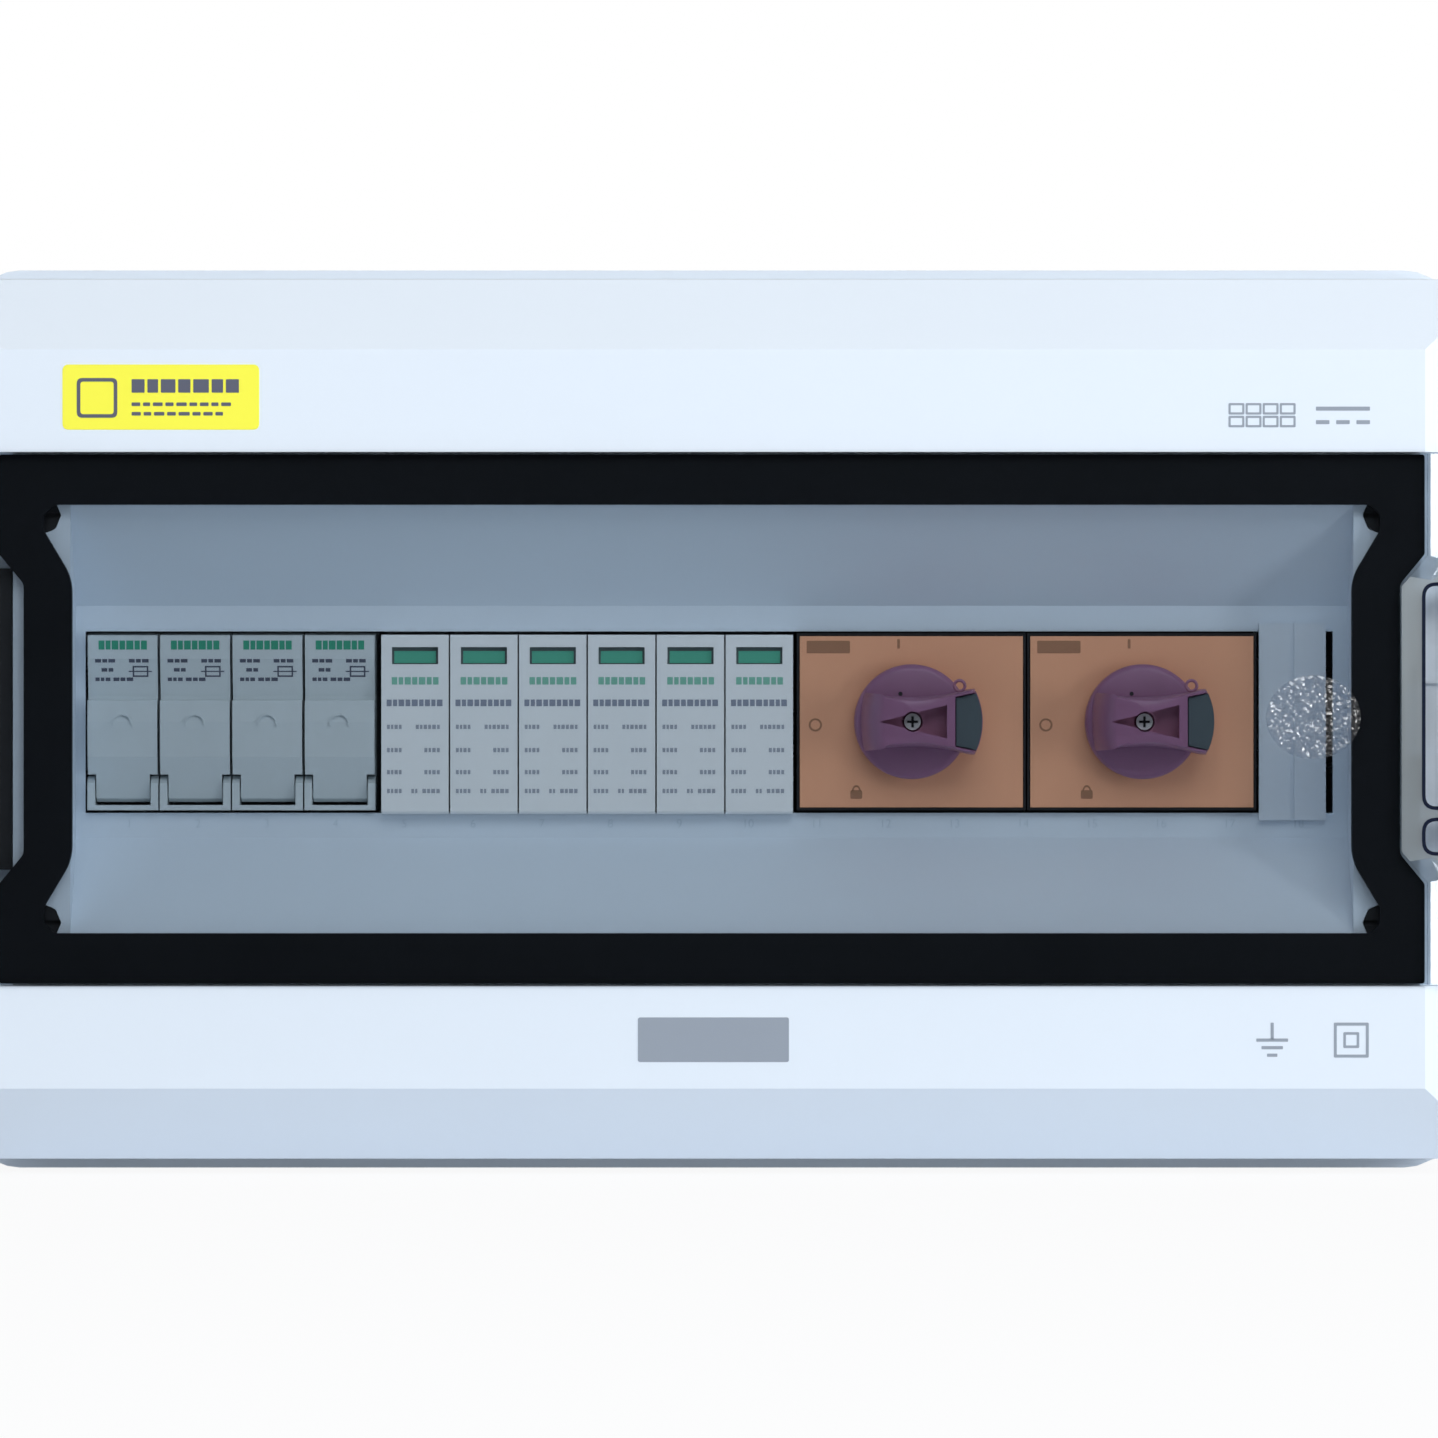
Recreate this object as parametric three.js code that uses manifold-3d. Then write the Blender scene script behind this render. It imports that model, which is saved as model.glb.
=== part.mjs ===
import * as THREE from 'three';
import { mergeVertices } from 'three/addons/utils/BufferGeometryUtils.js';
import Module from 'manifold-3d';

const wasm = await Module();
wasm.setup();

// Wall-mounted combiner box, in millimetres. x runs right, z runs up and the front faces -y.
// Depths (d) are distances in front of the wall, so y = -d. The origin is the centre of the back.

// Clearances
const GAP = 0.3;
const RUNNING = 0.3;

// Everything on the rail, and the panel round it, sits this far below the middle of the box.
const ROW_Z = -0.7;

// Base shell
const WIDTH = 380;
const HEIGHT = 230;
const FLANGE_RADIUS = 12.5;
const FLANGE_LENGTH = 7;
const SEAM = 65;
const BODY_INSET = 1.8;
const FLOOR = 3;
const BASE_WALL = 3.8;
const SEAL_DEPTH = 2.4;
const KNOCKOUT_RADIUS = 10.5;
const KNOCKOUT_PITCH = 52;
const WALL_HOLE_RADIUS = 2.8;
const WALL_HOLE_X = 160;
const WALL_HOLE_Z = 88;
const KNOCKOUT_GROOVE = 0.8;
const KNOCKOUT_LAND = 1.2;
const SEAL_INSET = 2.6;
const SEAL_HALF_WIDTH = 1;

// Front cover
const COVER_WIDTH = 375.6;
const COVER_HEIGHT = 225.6;
const COVER_RADIUS = 8;
const COVER_BACK = SEAM + GAP;
const COVER_FRONT = 108.4;
const BEVEL_BACK = 94;
const BEVEL_HALF = 93;
const COVER_WALL = 2.8;
// Half plan of the cover's side, as x and depth, outside and inside.
const COVER_SIDE = [[187.8, COVER_BACK], [187.2, 84], [186, 98], [183.6, 105.4], [179.5, COVER_FRONT]];
const HOLLOW_SIDE = [[185, 60], [183.8, 82], [172, 93], [172, 106]];
const SEAT = 103;
const PANEL = 82;
const PANEL_THICKNESS = 2.5;
const PANEL_HALF = 29.5;
const WINDOW_X = 161.8;
const WINDOW_Z = 54;
const TRAY_WALL = 3.5;
const CUTOUT_LEFT = -159.4;
const CUTOUT_RIGHT = 158;
const CUTOUT_BOTTOM = ROW_Z - 23.2;
const CUTOUT_TOP = ROW_Z + 23;
const ZONE_HALF = 67.2;
const LEDGE = 97;
const LEDGE_X = 178.6;
const HINGE_LEDGE_X = 176.3;
const LATCH_SLOT_X = 175.2;
const LATCH_SLOT_HALF = 9;

// Cover screws
const SCREW_X = 169;
const SCREW_Z = 51.4;
const POST_RADIUS = 6;
const SCREW_RADIUS = 2;
const HEAD_RADIUS = 4.5;
const HEAD_DEPTH = 3;

// Door, gasket and hinge
const DOOR_FRONT = 110;
const DOOR_THICKNESS = 2.8;
const DOOR_BACK = DOOR_FRONT - DOOR_THICKNESS;
const DOOR_X = 187.8;
const DOOR_Z = 66.8;
const FLANGE_X = 179;
const HINGE_NOTCH_Z = 38.4;
const RIM = 2.4;
const GRIP_HOLE = [-22, 33.5];
const SEAL_HOLE = [-33.5, -25.7];
// The upper right quarter of the gasket's outer and inner edges, as x and z.
const GASKET_OUTER = [[173.3, 34], [179.5, 41.5], [179.5, 66.6]];
const GASKET_INNER = [[161.2, 30.5], [162.6, 38.5], [168.2, 47.4], [168.2, 51.5], [165.5, 54]];
const HINGE_X = -184;
const HINGE_D = 103.5;
const KNUCKLE_RADIUS = 4;
const KNUCKLE_END = 47.5;
const PIN_RADIUS = 1.5;
const BRACKET_HALF = 38;
const PEG_RADIUS = 1.9;
const PEG_X = -181.5;

// DIN rail, 35 x 7.5
const RAIL_BACK = 14;
const RAIL_FRONT = 21.5;
const RAIL_HALF_LENGTH = 172;
const RAIL_LIP = 17.5;
const RAIL_WEB = 13.5;
const RAIL_SCREW_X = 165;
const RAIL_HEAD_RADIUS = 3.6;
const RAIL_HEAD_HEIGHT = 2.7;
const STANDOFF_HALF_WIDTH = 5;
const STANDOFF_HALF_HEIGHT = 10;
const DEVICE_BACK = RAIL_FRONT + GAP;

// Earth bar and its holder
const BAR_Z = -82;
const BAR_HALF_LENGTH = 46;
const BAR_HALF = 4;
const BAR_BACK = 15.3;
const BAR_HOLE_PITCH = 12;
const HOLDER_FRONT = 8;
const PILLAR_X = 30;
const PILLAR_HALF = 5;

// Devices on the rail, from left to right
const NOSE_HALF = 22.5;
const SIDE_GAP = 0.2;
const ROW_LEFT = -159;
const FUSE_PITCH = 18.4;
const FUSE_COUNT = 4;
const SURGE_PITCH = 17.5;
const POLES = 3;
const SURGE_COUNT = 2;
const SWITCH_PITCH = 58.6;
const SWITCH_WIDTH = 58.2;
const SWITCH_COUNT = 2;
const BLANK_WIDTH = 17;
const BLANK_HALF_HEIGHT = 25;
const BLANK_THICKNESS = 2.2;
const SURGE_LEFT = ROW_LEFT + FUSE_COUNT * FUSE_PITCH + 1.2;
const SWITCH_LEFT = SURGE_LEFT + SURGE_COUNT * POLES * SURGE_PITCH + 0.6;
const BLANK_LEFT = SWITCH_LEFT + SWITCH_COUNT * SWITCH_PITCH + 0.5;

// Devices: where the shoulders over the terminals are, and the terminals themselves
const FUSE_HALF = 40;
const FUSE_SHOULDER = 58;
const SURGE_HALF = 45;
const SURGE_SHOULDER = 60;
const SURGE_TROUGH = 40;
const SWITCH_HALF = 40;
const SWITCH_SHOULDER = 70;
const FUSE_TERMINAL_Z = 31;
const SURGE_TERMINAL_Z = 33;
const SWITCH_TERMINAL_Z = 32;
const SWITCH_TERMINALS = [-20, -7, 7, 20];
const TERMINAL_RADIUS = 2.6;
const TERMINAL_DEPTH = 6;
const HOOK_BACK = 16;
const HOOK_HALF = 15.5;
const BLADE_Z = 12;

// Fuse carrier, which swings on trunnions between two cheeks of its body
const CHEEK_FRONT = 84.5;
const CHEEK_TOP = -13.8;
const CHEEK_CHAMFER_D = 81.2;
const CHEEK_CHAMFER_Z = -15.6;
const CARRIER_HALF = 8.85;
const CARRIER_END_HALF = 6.8;
const CARRIER_SHOULDER_Z = -13.4;
const TRUNNION_RADIUS = 1.5;
const TRUNNION_END = 8.3;
const CARRIER_PIVOT_D = 80.3;
const CARRIER_PIVOT_Z = -18;
const CARRIER_END_RADIUS = 2.4;
// Side outline of a carrier as depth and height, from its top down the front and round its lower end.
const CARRIER_SIDE = [
  [79.5, 22],
  [85.5, 22],
  [85.2, 16],
  [82.6, 6.6],
  [82.6, 5.6],
  [86.2, 5.4],
  [86.5, 0],
  [85.9, -9],
  [CARRIER_PIVOT_D + 1.9, CARRIER_PIVOT_Z - 1.5],
  [CARRIER_PIVOT_D, CARRIER_PIVOT_Z - CARRIER_END_RADIUS],
  [CARRIER_PIVOT_D - 1.9, CARRIER_PIVOT_Z - 1.5],
  [79, -13],
];
const CLIP_SPANS = [[11.5, 19.2], [-18.8, -11.5]];
const CLIP_HALF = 6.3;
const LINK_RADIUS = 5.15;
const LINK_D = 70.3;
const LINK_BOTTOM = -19.5;
const LINK_TOP = 18.5;

// Surge cartridge
const CARTRIDGE_FRONT = 86.2;
const CARTRIDGE_TOP = 22.1;
const CARTRIDGE_LIP = -23.4;
const LIP_BACK = 82.7;
const FLAG_WINDOW_HALF = 5.9;
const FLAG_WINDOW = [14.6, 19];
const FLAG_WINDOW_FLOOR = 84.6;

// Isolator front plate and its frame
const PLATE_BACK = 82;
const PLATE_FRONT = 84.9;
const FRAME = 0.55;
const FRAME_LEVEL = PLATE_FRONT - 0.3;
const SHAFT_RADIUS = 3;
const SHAFT_BORE = SHAFT_RADIUS + RUNNING;

// Isolator knob, about its own axis, with the handle pointing right at OFF
const KNOB_BACK = 85.3;
const KNOB_DISC_FRONT = 91;
const KNOB_FRONT = 103.4;
const KNOB_RADIUS = 14.6;
const GRIP_REACH = 18;
const GRIP_LEFT = -12.4;
const GRIP_LEFT_HALF = 7.2;
const GRIP_WAIST = [2, 4.6];
const GRIP_RIGHT = 15.8;
const GRIP_RIGHT_HALF = 8.6;
const CHANNEL_FLOOR = 97;
const CHANNEL = [[-8.5, 0], [8.6, 4.2], [8.6, -4.2]];
const KNOB_SCREW_RADIUS = 2.1;
const SLIDER_LEFT = 11;
const SLIDER_LEFT_HALF = 6;
const SLIDER_RIGHT = 16;
const SLIDER_RIGHT_HALF = 7.1;
const SLIDER_BACK = 92.8;

// Wires
const WIRE_RADIUS = 1.8;
const WIRE_D = 40;
const WIRE_BEND = 8;
const LINK_CROWN = 72;
const LINK_CROWN_STEP = 5;
const FEED_CROWNS = [58, 64];
const FEED_TERMINAL_X = -7;

const materials = {
  white: { color: 0xe6edf5, roughness: 0.45, metalness: 0 },
  rubber: { color: 0x14171a, roughness: 0.75, metalness: 0 },
  clear: { color: 0xb9c6d2, roughness: 0.08, metalness: 0, transparent: true, opacity: 0.3 },
  blackPlastic: { color: 0x1a1c1f, roughness: 0.5, metalness: 0 },
  greyPlastic: { color: 0xb4bdc4, roughness: 0.55, metalness: 0 },
  paleGrey: { color: 0xd3dae0, roughness: 0.5, metalness: 0 },
  orange: { color: 0xe08a3c, roughness: 0.5, metalness: 0 },
  maroon: { color: 0x6e3a4c, roughness: 0.5, metalness: 0 },
  slate: { color: 0x2f3a44, roughness: 0.6, metalness: 0 },
  steel: { color: 0xc3c7cb, roughness: 0.3, metalness: 1 },
  brass: { color: 0xc9a35a, roughness: 0.35, metalness: 1 },
  ceramic: { color: 0xe9e6dd, roughness: 0.6, metalness: 0 },
  redWire: { color: 0xa8322c, roughness: 0.5, metalness: 0 },
};

const box = new THREE.Group();
box.name = 'dc_combiner_box';

// ---------------------------------------------------------------- solids

function signedVolume(position, index) {
  const a = new THREE.Vector3();
  const b = new THREE.Vector3();
  const c = new THREE.Vector3();
  let total = 0;
  for (let i = 0; i < index.length; i += 3) {
    a.fromArray(position, index[i] * 3);
    b.fromArray(position, index[i + 1] * 3);
    c.fromArray(position, index[i + 2] * 3);
    total += a.dot(b.cross(c));
  }
  return total / 6;
}

function toSolid(geometry) {
  geometry.deleteAttribute('normal');
  geometry.deleteAttribute('uv');
  const merged = mergeVertices(geometry, 1e-4);
  const vertProperties = new Float32Array(merged.attributes.position.array);
  const kept = [];
  const index = merged.index.array;
  for (let i = 0; i < index.length; i += 3) {
    const [a, b, c] = index.slice(i, i + 3);
    if (a !== b && b !== c && a !== c) {
      kept.push(a, b, c);
    }
  }
  if (signedVolume(vertProperties, kept) < 0) {
    for (let i = 0; i < kept.length; i += 3) {
      [kept[i], kept[i + 1]] = [kept[i + 1], kept[i]];
    }
  }
  const triVerts = new Uint32Array(kept);
  return new wasm.Manifold(new wasm.Mesh({ numProp: 3, vertProperties, triVerts }));
}

function addPiece(name, solid, look, x = 0, z = 0) {
  const shape = solid.getMesh();
  const geometry = new THREE.BufferGeometry();
  geometry.setAttribute('position', new THREE.BufferAttribute(new Float32Array(shape.vertProperties), 3));
  geometry.setIndex(new THREE.BufferAttribute(new Uint32Array(shape.triVerts), 1));
  geometry.computeVertexNormals();
  const piece = new THREE.Mesh(geometry, new THREE.MeshStandardMaterial(look));
  piece.name = name;
  piece.position.set(x, 0, z);
  box.add(piece);
  return piece;
}

function block([x0, x1], [d0, d1], [z0, z1]) {
  const geometry = new THREE.BoxGeometry(x1 - x0, d1 - d0, z1 - z0);
  geometry.translate((x0 + x1) / 2, -(d0 + d1) / 2, (z0 + z1) / 2);
  return toSolid(geometry);
}

function outline(points) {
  return new THREE.Shape(points.map(([a, b]) => new THREE.Vector2(a, b)));
}

// A half outline, given for z or x above zero, with its mirror image below.
function mirrored(points) {
  return outline([...points, ...points.map(([d, z]) => [d, -z]).reverse()]);
}

function disc(a, b, radius) {
  return new THREE.Shape().absarc(a, b, radius, 0, 2 * Math.PI);
}

function roundedRectangle(width, height, radius) {
  const x = width / 2 - radius;
  const z = height / 2 - radius;
  const shape = new THREE.Shape();
  shape.absarc(x, z, radius, 0, Math.PI / 2);
  shape.absarc(-x, z, radius, Math.PI / 2, Math.PI);
  shape.absarc(-x, -z, radius, Math.PI, 1.5 * Math.PI);
  shape.absarc(x, -z, radius, 1.5 * Math.PI, 2 * Math.PI);
  return shape;
}

// The outline is drawn in (x, z) and runs from depth d0 to d1.
function alongDepth(shape, d0, d1, curveSegments = 4) {
  const geometry = new THREE.ExtrudeGeometry(shape, { depth: d1 - d0, bevelEnabled: false, curveSegments });
  const basis = new THREE.Matrix4().makeBasis(
    new THREE.Vector3(1, 0, 0), new THREE.Vector3(0, 0, 1), new THREE.Vector3(0, -1, 0));
  geometry.applyMatrix4(basis);
  geometry.translate(0, -d0, 0);
  return toSolid(geometry);
}

// The outline is drawn in (d, z) and runs from x0 to x1.
function alongX(shape, x0, x1, curveSegments = 6) {
  const geometry = new THREE.ExtrudeGeometry(shape, { depth: x1 - x0, bevelEnabled: false, curveSegments });
  const basis = new THREE.Matrix4().makeBasis(
    new THREE.Vector3(0, -1, 0), new THREE.Vector3(0, 0, 1), new THREE.Vector3(-1, 0, 0));
  geometry.applyMatrix4(basis);
  geometry.translate(x1, 0, 0);
  return toSolid(geometry);
}

// The outline is drawn in (x, d) and runs from z0 to z1.
function alongZ(shape, z0, z1, curveSegments = 5) {
  const geometry = new THREE.ExtrudeGeometry(shape, { depth: z1 - z0, bevelEnabled: false, curveSegments });
  const basis = new THREE.Matrix4().makeBasis(
    new THREE.Vector3(1, 0, 0), new THREE.Vector3(0, -1, 0), new THREE.Vector3(0, 0, -1));
  geometry.applyMatrix4(basis);
  geometry.translate(0, 0, z1);
  return toSolid(geometry);
}

function atFourCorners(x, z, make) {
  return [[-x, z], [x, z], [-x, -z], [x, -z]].map(([a, b]) => make(a, b));
}

function joined(solids) {
  return solids.reduce((sum, solid) => sum.add(solid));
}

function without(solid, cuts) {
  return cuts.reduce((rest, cut) => rest.subtract(cut), solid);
}

// ---------------------------------------------------------------- enclosure

function knockout(x, z) {
  const inner = z - Math.sign(z) * KNOCKOUT_GROOVE;
  const span = [Math.min(z, inner), Math.max(z, inner)];
  const ring = alongZ(disc(x, SEAM / 2, KNOCKOUT_RADIUS), ...span, 7);
  const core = disc(x, SEAM / 2, KNOCKOUT_RADIUS - KNOCKOUT_LAND);
  return ring.subtract(alongZ(core, span[0] - 1, span[1] + 1, 7));
}

function baseShell() {
  const bodyWidth = WIDTH - 2 * BODY_INSET;
  const bodyHeight = HEIGHT - 2 * BODY_INSET;
  const bodyRadius = FLANGE_RADIUS - BODY_INSET;
  const body = alongDepth(roundedRectangle(bodyWidth, bodyHeight, bodyRadius), 0, SEAM - 1, 3);
  const flange = alongDepth(roundedRectangle(WIDTH, HEIGHT, FLANGE_RADIUS), SEAM - FLANGE_LENGTH, SEAM, 3);
  const hollow = alongDepth(
    roundedRectangle(bodyWidth - 2 * BASE_WALL, bodyHeight - 2 * BASE_WALL, bodyRadius - BASE_WALL),
    FLOOR, SEAM + 1, 3);
  const groove = sealRing(RUNNING, SEAM - SEAL_DEPTH - GAP, SEAM + 1);
  const posts = atFourCorners(SCREW_X, SCREW_Z, (x, z) =>
    alongDepth(disc(x, z, POST_RADIUS), FLOOR - 1, SEAM));
  const standoffs = [-1, 1].map((side) =>
    block([side * RAIL_SCREW_X - STANDOFF_HALF_WIDTH, side * RAIL_SCREW_X + STANDOFF_HALF_WIDTH],
      [FLOOR - 1, RAIL_BACK - GAP], [ROW_Z - STANDOFF_HALF_HEIGHT, ROW_Z + STANDOFF_HALF_HEIGHT]));
  const postHoles = atFourCorners(SCREW_X, SCREW_Z, (x, z) =>
    alongDepth(disc(x, z, SCREW_RADIUS + RUNNING), SEAM - 23, SEAM + 1));
  const railHoles = [-1, 1].map((side) =>
    alongDepth(disc(side * RAIL_SCREW_X, ROW_Z, SCREW_RADIUS + RUNNING), FLOOR + 2, RAIL_BACK));
  const wallHoles = atFourCorners(WALL_HOLE_X, WALL_HOLE_Z, (x, z) =>
    alongDepth(disc(x, z, WALL_HOLE_RADIUS), -1, FLOOR + 1));
  const knockouts = [-2.5, -1.5, -0.5, 0.5, 1.5, 2.5].flatMap((step) =>
    [bodyHeight / 2, -bodyHeight / 2].map((z) => knockout(step * KNOCKOUT_PITCH, z)));
  const shell = joined([body.add(flange).subtract(hollow), ...posts, ...standoffs]);
  return without(shell, [groove, ...postHoles, ...railHoles, ...wallHoles, ...knockouts]);
}

function sealRing(grow, d0, d1) {
  const half = SEAL_HALF_WIDTH + grow;
  const edge = (reach) => roundedRectangle(
    WIDTH - 2 * (SEAL_INSET - reach), HEIGHT - 2 * (SEAL_INSET - reach), FLANGE_RADIUS - SEAL_INSET + reach);
  return alongDepth(edge(half), d0, d1, 3).subtract(alongDepth(edge(-half), d0 - 1, d1 + 1, 3));
}

// A closed outline from one side of it, given as x and depth.
function bothSides(side) {
  return outline([...side, ...side.map(([x, d]) => [-x, d]).reverse()]);
}

function coverBlank() {
  const top = mirrored([
    [COVER_BACK, COVER_HEIGHT / 2],
    [COVER_BACK + 5, COVER_HEIGHT / 2 - 0.2],
    [BEVEL_BACK, COVER_HEIGHT / 2 - 1.5],
    [COVER_FRONT, BEVEL_HALF],
  ]);
  const front = roundedRectangle(COVER_WIDTH, COVER_HEIGHT, COVER_RADIUS);
  return alongX(top, -WIDTH / 2, WIDTH / 2)
    .intersect(alongZ(bothSides(COVER_SIDE), -HEIGHT / 2, HEIGHT / 2))
    .intersect(alongDepth(front, COVER_BACK, COVER_FRONT));
}

function coverHollow() {
  const back = COVER_BACK - 5;
  const inside = COVER_FRONT - COVER_WALL;
  const top = mirrored([
    [back, COVER_HEIGHT / 2 - COVER_WALL],
    [BEVEL_BACK - 1.2, COVER_HEIGHT / 2 - 4.3],
    [inside, BEVEL_HALF - 1.2],
    [inside, ZONE_HALF + 3.3],
    [SEAT - COVER_WALL, ZONE_HALF + 3.3],
  ]);
  const plan = roundedRectangle(
    COVER_WIDTH - 2 * COVER_WALL, COVER_HEIGHT - 2 * COVER_WALL, COVER_RADIUS - 2);
  return alongX(top, -WIDTH / 2, WIDTH / 2)
    .intersect(alongZ(bothSides(HOLLOW_SIDE), -HEIGHT / 2, HEIGHT / 2))
    .intersect(alongDepth(plan, back, COVER_FRONT));
}

// The recess behind the door: a flat panel with a slope above and below it, drawn in (d, z).
function recessOutline(panel, wall, front) {
  return outline([
    [panel, ROW_Z - PANEL_HALF - wall],
    [panel, ROW_Z + PANEL_HALF + wall],
    [SEAT - wall / 2, WINDOW_Z + wall],
    [front, WINDOW_Z + wall],
    [front, -WINDOW_Z - wall],
    [SEAT - wall / 2, -WINDOW_Z - wall],
  ]);
}

function frontCover() {
  const trayX = WINDOW_X + TRAY_WALL;
  const tray = alongX(recessOutline(PANEL - PANEL_THICKNESS, TRAY_WALL, SEAT), -trayX, trayX);
  const recess = alongX(recessOutline(PANEL, 0, DOOR_FRONT), -WINDOW_X, WINDOW_X);
  const cutout = block([CUTOUT_LEFT, CUTOUT_RIGHT], [PANEL - 10, PANEL + 1], [CUTOUT_BOTTOM, CUTOUT_TOP]);
  const zone = block([-WIDTH, WIDTH], [SEAT, DOOR_FRONT + 5], [-ZONE_HALF, ZONE_HALF]);
  const pockets = [[-WIDTH, -HINGE_LEDGE_X], [LEDGE_X, WIDTH]].map((edges) =>
    block(edges, [LEDGE, DOOR_FRONT + 5], [-ZONE_HALF, ZONE_HALF]));
  const bosses = atFourCorners(SCREW_X, SCREW_Z, (x, z) =>
    alongDepth(disc(x, z, POST_RADIUS), COVER_BACK, SEAT - 2));
  const bores = atFourCorners(SCREW_X, SCREW_Z, (x, z) =>
    alongDepth(disc(x, z, SCREW_RADIUS + RUNNING), COVER_BACK - 1, SEAT + 1)
      .add(alongDepth(disc(x, z, HEAD_RADIUS + 0.4), SEAT - HEAD_DEPTH - 2 * GAP, SEAT + 1)));
  const pegHoles = [-1, 1].map((side) =>
    alongDepth(disc(PEG_X, side * BRACKET_HALF / 2, PEG_RADIUS + RUNNING), LEDGE - 8, LEDGE + 1));
  const latchSlot = block([LATCH_SLOT_X, WIDTH], [LEDGE - 1, SEAT + 1], [-LATCH_SLOT_HALF, LATCH_SLOT_HALF]);
  const shell = joined([coverBlank().subtract(coverHollow()), tray, ...bosses]);
  return without(shell, [zone, ...pockets, recess, cutout, ...bores, ...pegHoles, latchSlot]);
}

function coverScrew(x, z) {
  const headBack = SEAT - HEAD_DEPTH - GAP;
  const shank = alongDepth(disc(x, z, SCREW_RADIUS), SEAM - 20, headBack + 1, 5);
  const head = alongDepth(disc(x, z, HEAD_RADIUS), headBack, SEAT - GAP, 9);
  const slot = block([x - HEAD_RADIUS, x + HEAD_RADIUS], [SEAT - 1.5, SEAT + 1], [z - 0.6, z + 0.6]);
  return shank.add(head).subtract(slot);
}

function doorPanel() {
  const plate = block([-DOOR_X, DOOR_X], [DOOR_BACK, DOOR_FRONT], [-DOOR_Z, DOOR_Z]);
  const through = [DOOR_BACK - 1, DOOR_FRONT + 1];
  const hingeNotch = block([-WIDTH, -FLANGE_X], through, [-HINGE_NOTCH_Z, HINGE_NOTCH_Z]);
  const holes = [GRIP_HOLE, SEAL_HOLE].map((span) => block([FLANGE_X, DOOR_X - RIM], through, span));
  const rim = block([DOOR_X - RIM, DOOR_X], [LEDGE + 2, DOOR_BACK + 1], [-DOOR_Z, DOOR_Z]);
  const tongue = block([LATCH_SLOT_X + 0.6, LATCH_SLOT_X + 2.6], [LEDGE + 1, DOOR_BACK + 1],
    [-LATCH_SLOT_HALF + 1, LATCH_SLOT_HALF - 1]);
  const knuckles = [1, -1].flatMap((side) => {
    const span = [side * HINGE_NOTCH_Z, side * KNUCKLE_END].sort((a, b) => a - b);
    return [
      alongZ(disc(HINGE_X, HINGE_D, KNUCKLE_RADIUS), ...span),
      block([HINGE_X, HINGE_X + KNUCKLE_RADIUS], [HINGE_D, DOOR_BACK + 1], span),
    ];
  });
  const pinHole = alongZ(disc(HINGE_X, HINGE_D, PIN_RADIUS + RUNNING), -KNUCKLE_END - 1, KNUCKLE_END + 1);
  return without(joined([plate, rim, tongue, ...knuckles]), [hingeNotch, ...holes, pinHole]);
}

function doorGasket() {
  const ring = (quarter) => outline([
    ...quarter,
    ...quarter.map(([x, z]) => [-x, z]).reverse(),
    ...quarter.map(([x, z]) => [-x, -z]),
    ...quarter.map(([x, z]) => [x, -z]).reverse(),
  ]);
  const outer = alongDepth(ring(GASKET_OUTER), SEAT + GAP, DOOR_BACK - GAP);
  return outer.subtract(alongDepth(ring(GASKET_INNER), SEAT, DOOR_FRONT));
}

// A block on the cover's ledge with the middle barrel of the hinge, held by two pegs.
function hingeBracket() {
  const foot = block([HINGE_X - KNUCKLE_RADIUS, -HINGE_LEDGE_X - GAP], [LEDGE + GAP, HINGE_D],
    [-BRACKET_HALF, BRACKET_HALF]);
  const barrel = alongZ(disc(HINGE_X, HINGE_D, KNUCKLE_RADIUS), -BRACKET_HALF, BRACKET_HALF);
  const pinHole = alongZ(disc(HINGE_X, HINGE_D, PIN_RADIUS + RUNNING), -KNUCKLE_END, KNUCKLE_END);
  const pegs = [-1, 1].map((side) =>
    alongDepth(disc(PEG_X, side * BRACKET_HALF / 2, PEG_RADIUS), LEDGE - 7, LEDGE + 1, 5));
  return joined([foot.add(barrel).subtract(pinHole), ...pegs]);
}

function hingePin() {
  return alongZ(disc(HINGE_X, HINGE_D, PIN_RADIUS), -KNUCKLE_END, KNUCKLE_END, 6);
}

// ---------------------------------------------------------------- rail and earth bar

function dinRail() {
  const inner = RAIL_WEB - 1;
  const profile = mirrored([
    [RAIL_BACK + 1, inner],
    [RAIL_FRONT, inner],
    [RAIL_FRONT, RAIL_LIP],
    [RAIL_FRONT - 1, RAIL_LIP],
    [RAIL_FRONT - 1, RAIL_WEB],
    [RAIL_BACK, RAIL_WEB],
  ]);
  const holes = [-1, 1].map((side) =>
    alongDepth(disc(side * RAIL_SCREW_X, 0, SCREW_RADIUS + RUNNING), RAIL_BACK - 1, RAIL_BACK + 2));
  return without(alongX(profile, -RAIL_HALF_LENGTH, RAIL_HALF_LENGTH), holes);
}

function railScrew(x) {
  const headBack = RAIL_BACK + 1 + GAP;
  const shank = alongDepth(disc(x, 0, SCREW_RADIUS), RAIL_BACK - 8, headBack + 1, 5);
  return shank.add(alongDepth(disc(x, 0, RAIL_HEAD_RADIUS), headBack, headBack + RAIL_HEAD_HEIGHT, 7));
}

function earthBar() {
  const centre = BAR_BACK + BAR_HALF;
  const bar = block([-BAR_HALF_LENGTH, BAR_HALF_LENGTH], [BAR_BACK, BAR_BACK + 2 * BAR_HALF],
    [BAR_Z - BAR_HALF, BAR_Z + BAR_HALF]);
  const holes = [-3, -2, -1, 0, 1, 2, 3].map((step) =>
    alongZ(disc(step * BAR_HOLE_PITCH, centre - 0.8, SCREW_RADIUS), BAR_Z - 5, BAR_Z + 5, 3));
  return without(bar, holes);
}

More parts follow.
